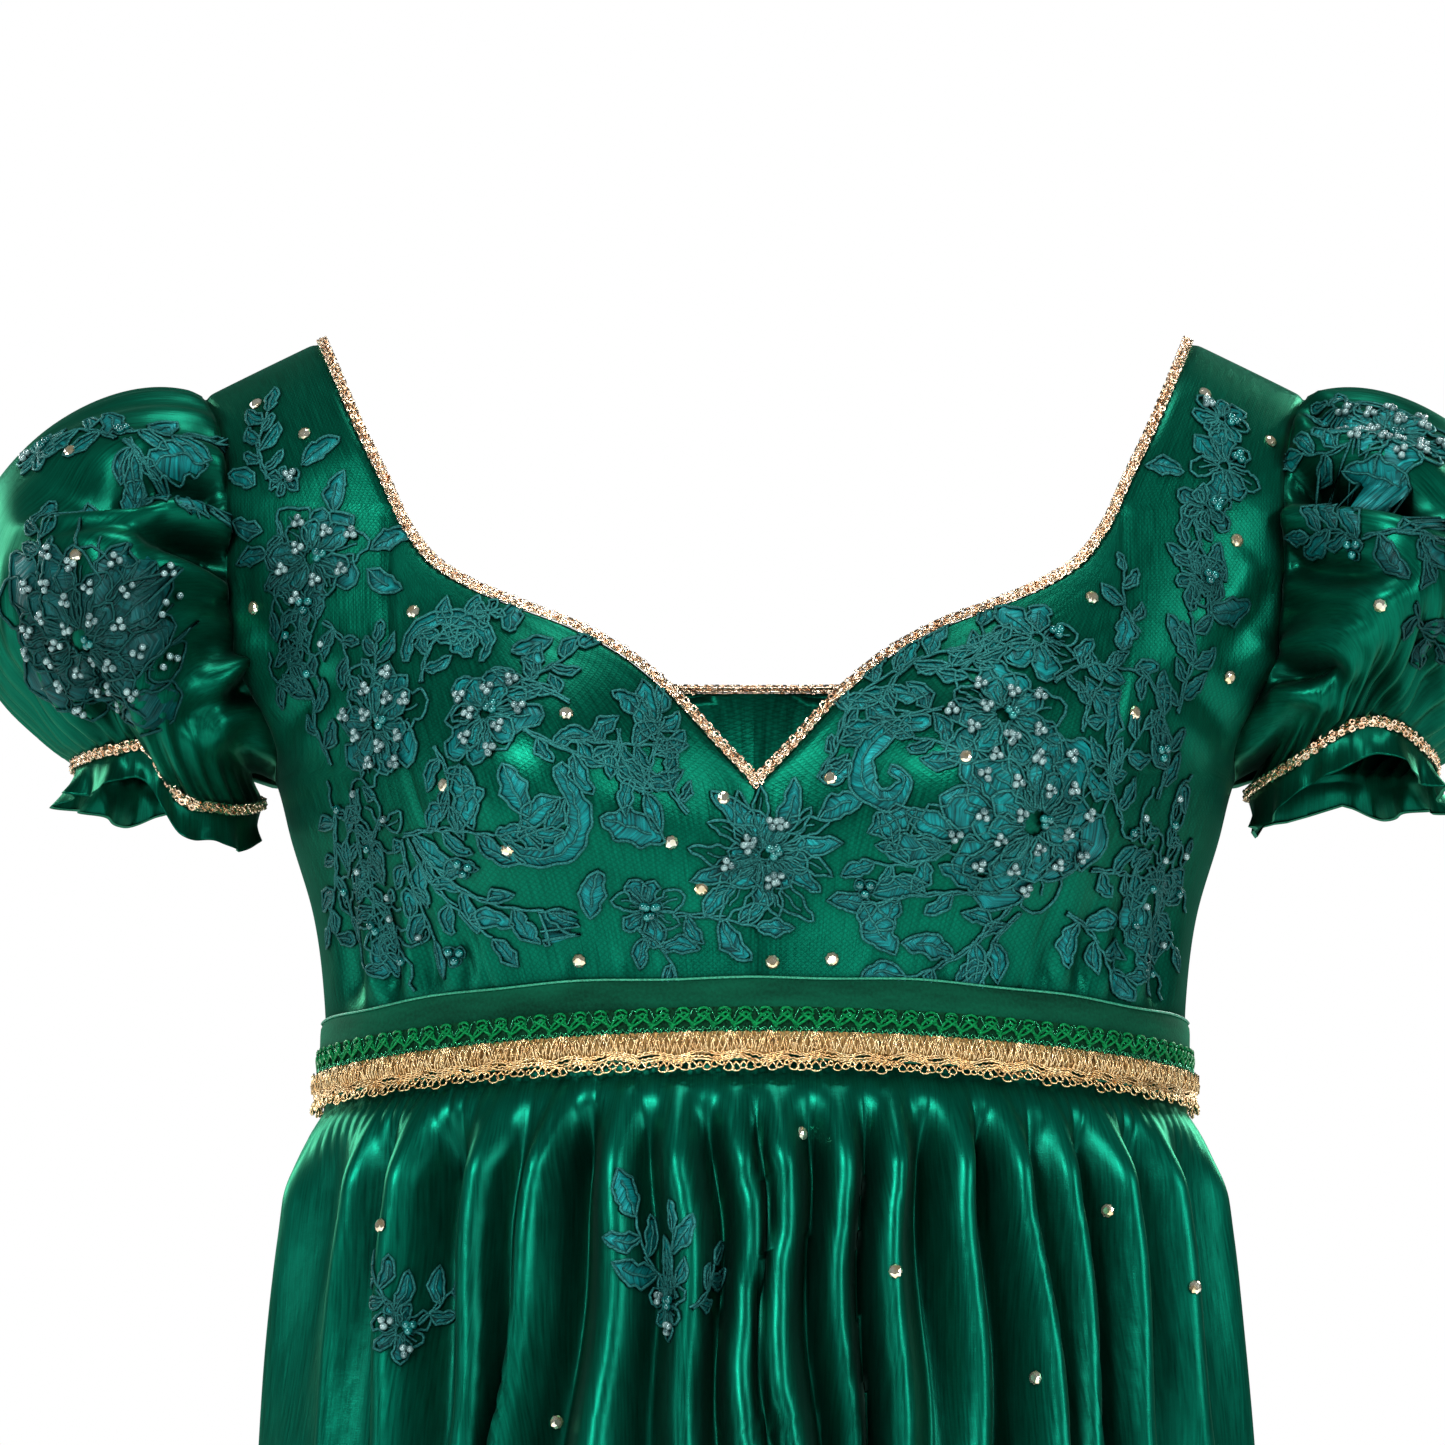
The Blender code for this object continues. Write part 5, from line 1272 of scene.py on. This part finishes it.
    def blossom(self, m):
        self.open(m.across, m.height)
        slim = 0.30 if m.petals > 14 else 0.62
        for layer in range(m.layers):
            reach = m.radius * (1 - 0.28 * layer)
            count = max(5, m.petals - 2 * layer)
            for k in range(count):
                angle = m.turn + 0.4 * layer
                angle += 2 * math.pi * (k + 0.18 * math.sin(5 * k + layer + m.turn * 9)) / count
                size = reach * (0.92 + 0.14 * math.sin(2.3 * k + layer + m.turn * 7))
                root = turned((m.radius * 0.13, 0), angle)
                filled = (k + layer) % 3 != 0 if slim > 0.4 else k % 3 == 0
                self.leaf(root, angle, size * 0.88, slim, 0.22 * math.sin(k * 1.7), filled, slim > 0.4, 0.00045 * layer)
        eye = m.radius * 0.15
        self.cord([(eye * math.cos(a), eye * math.sin(a)) for a in np.linspace(0, 5.5, 8)], True)
        clusters = m.beads // 2
        for k in range(clusters * 3):
            angle = k // 3 * 2.39996 + m.turn
            away = m.radius * (0.80 if slim > 0.4 else 0.55) * math.sqrt((k // 3 + 0.3) / clusters)
            spot = turned((away, 0), angle) + turned((0.00135, 0), angle * 1.7 + k % 3 * 2.094)
            self.bead(spot, "pearl" if k < 3 and m.radius > 0.010 else "bead", 0.0007)
        if m.beads == 0:
            for angle in (0.4, 2.5, 4.6):
                self.bead(turned((0.0022, 0), angle), "pearl", 0.0005)

    def spray(self, m):
        self.open(m.across, m.height)
        angle = math.radians(m.angle)
        t = np.linspace(0, 1, max(5, int(m.length / 0.0013)))
        sway = 0.16 * math.sin(self.drawn * 1.9)
        stem = np.stack([m.length * t, m.length * sway * np.sin(math.pi * t)], axis=-1)
        self.cord(turned(stem, angle), False, CORD)
        self.cord(turned(stem[: len(t) * 2 // 3] + (0, 0.0009), angle), False, CORD * 0.85)
        for k in range(m.leaves):
            place = (k + 1) / m.leaves
            index = min(len(t) - 1, int(place * (len(t) - 1)))
            last = k == m.leaves - 1
            side = 0 if last else (1 if k % 2 else -1)
            lean = side * math.radians(48 - 14 * place) + 0.15 * math.sin(k * 2.1 + self.drawn)
            size = m.leaf_length * (0.86 + 0.2 * math.sin(k * 1.9 + m.angle))
            self.leaf(turned(stem[index], angle), angle + lean, size, 0.42, 0.25 * side, True)

    def berries(self, m):
        self.open(m.across, m.height)
        for k in range(3):
            spot = turned((m.radius * 0.52, 0), 0.5 + k * 2.094)
            ring = [spot + turned((0.0019, 0), a) for a in np.linspace(0, 2 * math.pi, 10)[:-1]]
            self.cord(ring, True, CORD * 0.8)
            self.bead(spot, "pearl", 0.0004)

    def bramble(self, m):
        for k in range(m.count):
            u, v = (k * 0.618034) % 1 * 2 - 1, (k + 0.5) / m.count * 2 - 1
            self.open(m.across + m.half_width * u, m.height + m.half_height * v)
            angle = k * 2.4 + 0.6 * math.sin(k)
            size = 0.0085 + 0.0025 * math.sin(k * 1.3)
            self.leaf((0, 0), angle, size, 0.55, 0.3 * math.sin(k), k % 2 == 0, k % 3 == 0)
            tendril = ((0.0, 0.0), (0.003, 0.0016), (0.006, 0.001), (0.008, -0.001), (0.011, -0.0006))
            self.cord(turned(tendril, angle + 2.2))
            if k % 2:
                self.bead(turned((0.0018, 0), angle + 1.0), "pearl" if k % 4 == 1 else "bead")

    def scroll(self, m):
        points = np.array(m.points) / 1000
        middle = points.mean(axis=0)
        self.open(*middle)
        flat = points - middle
        length = run_along(flat)
        at = np.linspace(0, length[-1], int(length[-1] / 0.0012))
        line = np.stack([curve_through(length, flat[:, k], at) for k in (0, 1)], axis=-1)
        t = at / length[-1]
        beside = unit(np.gradient(line, axis=0))[:, ::-1] * (-1, 1)
        half = m.width * 0.5 * np.sin(math.pi * (0.12 + 0.80 * t)) ** 0.9
        half = half * (1 + 0.16 * np.sin(t * 26.0))
        rows = np.linspace(-0.92, 0.92, 5)[:, None, None]
        self.pad(line[None] + rows * (beside * half[:, None])[None])
        self.cord(np.concatenate([line + beside * half[:, None], (line - beside * half[:, None])[::-1]]), True)
        self.cord(line[2:-3], False, CORD * 0.7, 0.0004)
        for share, turn in ((0.2, 0.9), (0.45, 1.0), (0.7, 1.1)):
            index = int(share * len(line))
            ahead = line[index + 1] - line[index]
            out = math.atan2(ahead[1], ahead[0]) - turn
            self.leaf(line[index] - beside[index] * half[index], out, m.width * 1.5, 0.5, 0.2, True)

    def single_leaf(self, m):
        self.open(m.across, m.height)
        self.leaf((0.0, 0.0), math.radians(m.angle), m.length, 0.46, 0.2 * math.sin(self.drawn))

    def draw(self, motifs):
        for kind, rows in motifs:
            for motif in table(MOTIFS[kind], rows, MOTIF_COUNTS):
                getattr(self, kind)(motif)


def ball(sides, rings):
    """A bead as points and triangles, with a small hole's dimple at its poles."""
    points = [(0.0, 0.0, 0.86)]
    for ring in range(1, rings):
        polar = math.pi * ring / rings
        for k in range(sides):
            angle = 2 * math.pi * k / sides
            points.append((math.sin(polar) * math.cos(angle), math.sin(polar) * math.sin(angle), math.cos(polar) * 0.92))
    points.append((0.0, 0.0, -0.86))
    faces = []
    for k in range(sides):
        n = (k + 1) % sides
        faces.append((0, 1 + k, 1 + n))
        for ring in range(rings - 2):
            a, b = 1 + ring * sides + k, 1 + ring * sides + n
            faces += [(a, a + sides, b + sides), (a, b + sides, b)]
        last = 1 + (rings - 2) * sides
        faces.append((len(points) - 1, last + n, last + k))
    return np.array(points), np.array(faces)


def frames_along(lies, spin):
    """Three directions for each lie of the cloth: two in the cloth, turned by spin, and one straight out."""
    lies = unit(np.asarray(lies, float))
    first = unit(np.cross(lies, np.tile((0.13, 0.21, 0.97), (len(lies), 1))))
    second = np.cross(lies, first)
    c, s = np.cos(spin)[:, None], np.sin(spin)[:, None]
    return np.stack([first * c + second * s, second * c - first * s, lies], axis=1)


def painted_side_shade(shader):
    """How much painted shade darkens the lace toward the under-arm sides and low on the sleeves, where it lies in
    shadow and looks nearly black.
    """
    across, _, height = shader.add("SeparateXYZ", Vector=shader.place((1.0, 1.0, 1.0), "Object")).outputs
    aside = shader.add("MapRange", _0=shader.maths("ABSOLUTE", across), _1=0.105, _2=0.165, _3=0.0, _4=0.75).outputs[0]
    low = shader.add("MapRange", _0=height, _1=-0.040, _2=-0.085, _3=0.0, _4=1.0).outputs[0]
    return shader.maths("MULTIPLY", aside, low)


def lace_thread(name, grain, tones, mottle, mottle_tones, aside, hidden, power, bump, **settings):
    """Dyed thread in two tones by its twist and two by its dye, darkened by painted shade at the sides and in hidden
    places.
    """
    thread = Shader(name, **settings)
    fac = thread.noise(*grain)
    shade = thread.mix(0.45, thread.ramp(fac, *tones), thread.ramp(thread.noise(*mottle), *mottle_tones))
    # Painted shade: toward the under-arm sides, then in hidden places close under cords and in folds.
    shade = thread.mix(painted_side_shade(thread), shade, (*aside, 1.0))
    shade = thread.mix(thread.openness(0.003, power), (*hidden, 1.0), shade)
    return thread.finish(Base_Color=shade, Normal=thread.bump(fac, *bump))


# In each lace thread the two tones before the power are painted shade: the first toward the sides, the second in hidden
# places.
lace_cord = lace_thread(
    "lace_cord", (1300.0, 2.0, 0.6, "Object", (1.0, 1.0, 2.0)),
    ((0.34, (0.001, 0.024, 0.023)), (0.68, (0.050, 0.290, 0.275))), (46.0, 2.0, 0.5, "Object"),
    ((0.36, (0.002, 0.024, 0.023)), (0.66, (0.016, 0.140, 0.132))), (0.001, 0.018, 0.017), (0.0, 0.006, 0.006), 1.5,
    (0.0003, 0.8), Roughness=0.40, Metallic=0.35, Specular_IOR_Level=0.30, Specular_Tint=(0.25, 0.80, 0.74, 1.0),
)
lace_fill = lace_thread(
    "lace_thread_fill", (1.0, 2.0, 0.6, "UV", (1000.0, 90.0, 1.0)),
    ((0.36, (0.000, 0.030, 0.032)), (0.66, (0.004, 0.340, 0.345))), (110.0, 2.0, 0.5, "Object"),
    ((0.40, (0.000, 0.028, 0.028)), (0.62, (0.001, 0.200, 0.204))), (0.000, 0.014, 0.014), (0.0, 0.010, 0.010), 1.6,
    (0.0005, 0.9), Roughness=0.42, Metallic=0.45, Sheen_Weight=0.08, Sheen_Tint=(0.05, 0.85, 0.80, 1.0),
    Specular_IOR_Level=0.2,
)
clear_bead = two_tone(
    "clear_bead", (500.0, 1.0, 0.5, "Object"), ((0.35, (0.035, 0.095, 0.10)), (0.60, (0.20, 0.32, 0.32))),
    Roughness=0.10, Metallic=0.35, IOR=1.5, Coat_Weight=1.0, Coat_Roughness=0.03,
)
teal_pearl = two_tone(
    "teal_pearl", (420.0, 1.0, 0.5, "Object"), ((0.35, (0.0, 0.075, 0.075)), (0.65, (0.006, 0.190, 0.180))),
    Roughness=0.16, Metallic=0.45, Coat_Weight=0.8,
)

BODICE_FRONTS = ("centre_left", "side_left", "centre_right", "side_right")
fronts = [sheets[f"cloth_bodice_front_{part}"].made for part in BODICE_FRONTS]
sleeves = {side: sheets[f"cloth_sleeve_{side}"].made for side in ("left", "right")}
skirt_front = sheets["cloth_skirt_front"].made
LaceGroup = namedtuple("LaceGroup", "name motifs cloths stands_for")
LACE_GROUPS = (
    LaceGroup("right_bodice", RIGHT_BODICE_LACE, fronts,
              ["lace_flower_right_" + part for part in ("bust", "neck", "strap", "berry")]),
    LaceGroup("left_bodice", LEFT_BODICE_LACE, fronts,
              ["lace_flower_left_" + part for part in ("bust", "neck", "strap", "side")]),
    LaceGroup("centre", CENTRE_LACE, fronts, ["lace_flower_centre"]),
    LaceGroup("left_sleeve", LEFT_SLEEVE_LACE, [sleeves["left"]], ["sleeve_lace_left"]),
    LaceGroup("right_sleeve", RIGHT_SLEEVE_LACE, [sleeves["right"]], ["sleeve_lace_right"]),
    LaceGroup("skirt", SKIRT_LACE, [skirt_front], ["skirt_lace"]),
)
for group in LACE_GROUPS:
    lace = Applique(group.cloths, skirt_front_grid if group.name == "skirt" else None)
    lace.draw(group.motifs)
    cords = tubes(f"lace_cords_{group.name}", lace.cords, lace.cord_radius, lace_cord,
                  group.stands_for, 5, lace.cord_normals, lace.cord_closed)
    points, faces, measures, first = [], [], [], 0
    for grid, uv in lace.pads:
        points.append(grid.reshape(-1, 3))
        measures.append(uv.reshape(-1, 2))
        faces.append(grid_faces(*grid.shape[:2]) + first)
        first += grid.shape[0] * grid.shape[1]
    points, faces, measures = (np.concatenate(part) for part in (points, faces, measures))
    made = [cords, mesh_piece(f"lace_fills_{group.name}", points, faces, lace_fill, uv=measures)]
    for kind, spots, size, material in (
        ("beads", lace.beads, BEAD, clear_bead), ("pearls", lace.pearls, PEARL, teal_pearl),
    ):
        if spots:
            places, lies = (np.array(part) for part in zip(*spots))
            frames = frames_along(lies, np.arange(len(places)) * 1.1)
            frames = np.roll(frames, 1, axis=1) if kind == "beads" else frames
            made.append(copies(f"lace_{kind}_{group.name}", ball(10, 7), places, frames, material, sizes=size))

# Rhinestones.
# Champagne-gold glass stones 4 mm across, cut with a flat table and foiled behind, stuck singly to the satin
# between the flowers and down the skirt.
STONE = 0.0023
STONES = table("across height", (
    (-167.3, -16.3), (-149.7, -29.6), (-228.2, -34.3), (-222.4, -74.1), (-166, -87.9), (-111.8, -93.3),
    (-61.2, -130.2), (-100.6, -152.4), (-80, -173.7), (-27.5, -170.8), (-17.9, -185.2), (-10.8, -156),
    (-57.2, -208), (5.1, -208.6), (24.3, -207.7), (23.8, -150.2), (66.8, -144.7), (109.5, -88.5), (123, -126.6),
    (158.8, -66.3), (156, -111.7), (150, -14.3), (171.9, -30), (203.6, -91), (14.4, -264), (43.9, -308.6),
    (113.7, -287.9), (142.8, -312.1), (-121.4, -292.7), (89, -342), (-64, -356), (12, -378), (-132, -390),
    (126, -406), (-24, -436), (70, -460),
))
champagne_stone = two_tone(
    "champagne_stone", (300.0, 1.0, 0.5, "Object"), ((0.35, (0.85, 0.66, 0.38)), (0.60, (1.0, 0.95, 0.78))),
    Roughness=0.07, Metallic=0.9, IOR=1.6, Coat_Weight=1.0,
)


def cut_stone(sides=8):
    """A flat-backed stone: a table, a ring of crown facets and a thin girdle."""
    points, faces = [], []
    for reach, rise, shift in ((0.50, 0.52, 0.0), (0.82, 0.34, 0.5), (1.0, 0.10, 0.0), (1.0, 0.0, 0.0)):
        for k in range(sides):
            angle = 2 * math.pi * (k + shift) / sides
            points.append((reach * math.cos(angle), reach * math.sin(angle), rise))
    points.append((0.0, 0.0, 0.52))
    for k in range(sides):
        n, m = (k + 1) % sides, len(points) - 1
        a, b, c, d = k, n, sides + k, sides + n
        e, f, g, h = 2 * sides + k, 2 * sides + n, 3 * sides + k, 3 * sides + n
        faces += [(m, a, b), (a, c, b), (b, c, d), (c, e, f), (c, f, d), (e, g, h), (e, h, f)]
    return np.array(points), np.array(faces)


all_cloth = Applique([*fronts, skirt_front, *sleeves.values()])
for name, chosen in (
    ("skirt", [stone for stone in STONES if stone.height < -0.25]),
    ("left_sleeve", [stone for stone in STONES if stone.across > 0.176]),
    ("right_sleeve", [stone for stone in STONES if stone.across < -0.176]),
    ("bodice", [stone for stone in STONES if stone.height > -0.25 and abs(stone.across) < 0.176]),
):
    spots = []
    for stone in chosen:
        all_cloth.open(stone.across, stone.height)
        spots.append([part[0] for part in all_cloth.lay([(0.0, 0.0)], 0.0002)])
    places, lies = (np.array(part) for part in zip(*spots))
    frames = frames_along(lies, np.arange(len(places)) * 1.7)
    copies(f"rhinestones_{name}", cut_stone(), places, frames, champagne_stone,
                          sizes=STONE, flat=True)

# Camera, lights and floor.
# The view from a little below the bust, with a plain pale floor at the hem and soft light from both sides.
FLOOR_HEIGHT = HEM_HEIGHT - 0.001
floor_mesh = bpy.data.meshes.new("studio_floor")
floor_mesh.from_pydata([(x, y, FLOOR_HEIGHT) for x, y in ((-6, -8), (6, -8), (6, 6), (-6, 6))], [], [(0, 1, 2, 3)])
floor = bpy.data.objects.new("studio_floor", floor_mesh)
bpy.context.scene.collection.objects.link(floor)
floor_mesh.materials.append(two_tone(
    "pale_floor", (3.0, 2.0, 0.5, "Object"), ((0.3, (0.90, 0.90, 0.90)), (0.7, (0.93, 0.93, 0.93))), Roughness=0.6,
))

world = bpy.data.worlds.new("studio")
world.use_nodes = True
bpy.context.scene.world = world
sky = world.node_tree
sky.nodes.remove(sky.nodes["Background"])
rays = sky.nodes.new("ShaderNodeLightPath").outputs


def glow(colour, strength):
    node = sky.nodes.new("ShaderNodeBackground")
    node.inputs["Color"].default_value = (*colour, 1.0)
    node.inputs["Strength"].default_value = strength
    return node.outputs[0]


def by_ray(ray, others, chosen):
    """One light for the rays of a kind, and another for the others."""
    node = sky.nodes.new("ShaderNodeMixShader")
    for socket, source in zip(node.inputs, (rays[ray], others, chosen)):
        sky.links.new(source, socket)
    return node.outputs[0]


room = by_ray("Is Diffuse Ray", glow((0.78, 0.86, 0.84), 0.10), glow((0.95, 1.0, 0.98), 0.85))
backdrop = by_ray("Is Camera Ray", room, glow((1.0, 1.0, 1.0), 1.0))
sky.links.new(backdrop, sky.nodes["World Output"].inputs["Surface"])

# Each lamp's name, place, the height it is aimed at, its width and height, and its watts
LAMPS = (
    ("key", (-1.0, -2.3, 0.9), -0.15, (0.55, 0.55), 46.0),
    ("fill", (1.9, -1.6, 0.4), -0.20, (0.6, 0.8), 24.0),
    ("top", (0.2, -0.3, 1.6), -0.10, (0.6, 0.4), 14.0),
    ("low_front", (0.3, -2.8, -0.9), -0.45, (0.25, 0.9), 9.0),
    ("back_left", (1.6, 1.9, 0.9), -0.40, (0.8, 1.0), 30.0),
    ("back_right", (-1.8, 1.7, 0.6), -0.40, (0.8, 1.0), 24.0),
    ("skirt_side", (-2.3, -0.6, -0.6), -0.90, (0.6, 1.2), 9.0),
)


def aimed(holder, place, target):
    holder.location = place
    holder.rotation_euler = (Vector(target) - holder.location).to_track_quat("-Z", "Y").to_euler()
    bpy.context.scene.collection.objects.link(holder)


for name, place, aim, (width, height), power in LAMPS:
    light = bpy.data.lights.new(name, "AREA")
    light.shape = "RECTANGLE"
    light.size, light.size_y, light.energy = width, height, power
    aimed(bpy.data.objects.new(name, light), place, (0.0, 0.0, aim))

lens = bpy.data.cameras.new("photo_view")
lens.lens, lens.sensor_width = 162.7, 36.0
camera = bpy.data.objects.new("photo_view", lens)
aimed(camera, (-0.011, -2.2, -0.370), (-0.011, -0.11, -0.132))
bpy.context.scene.camera = camera
bpy.context.scene.view_settings.view_transform = "Standard"
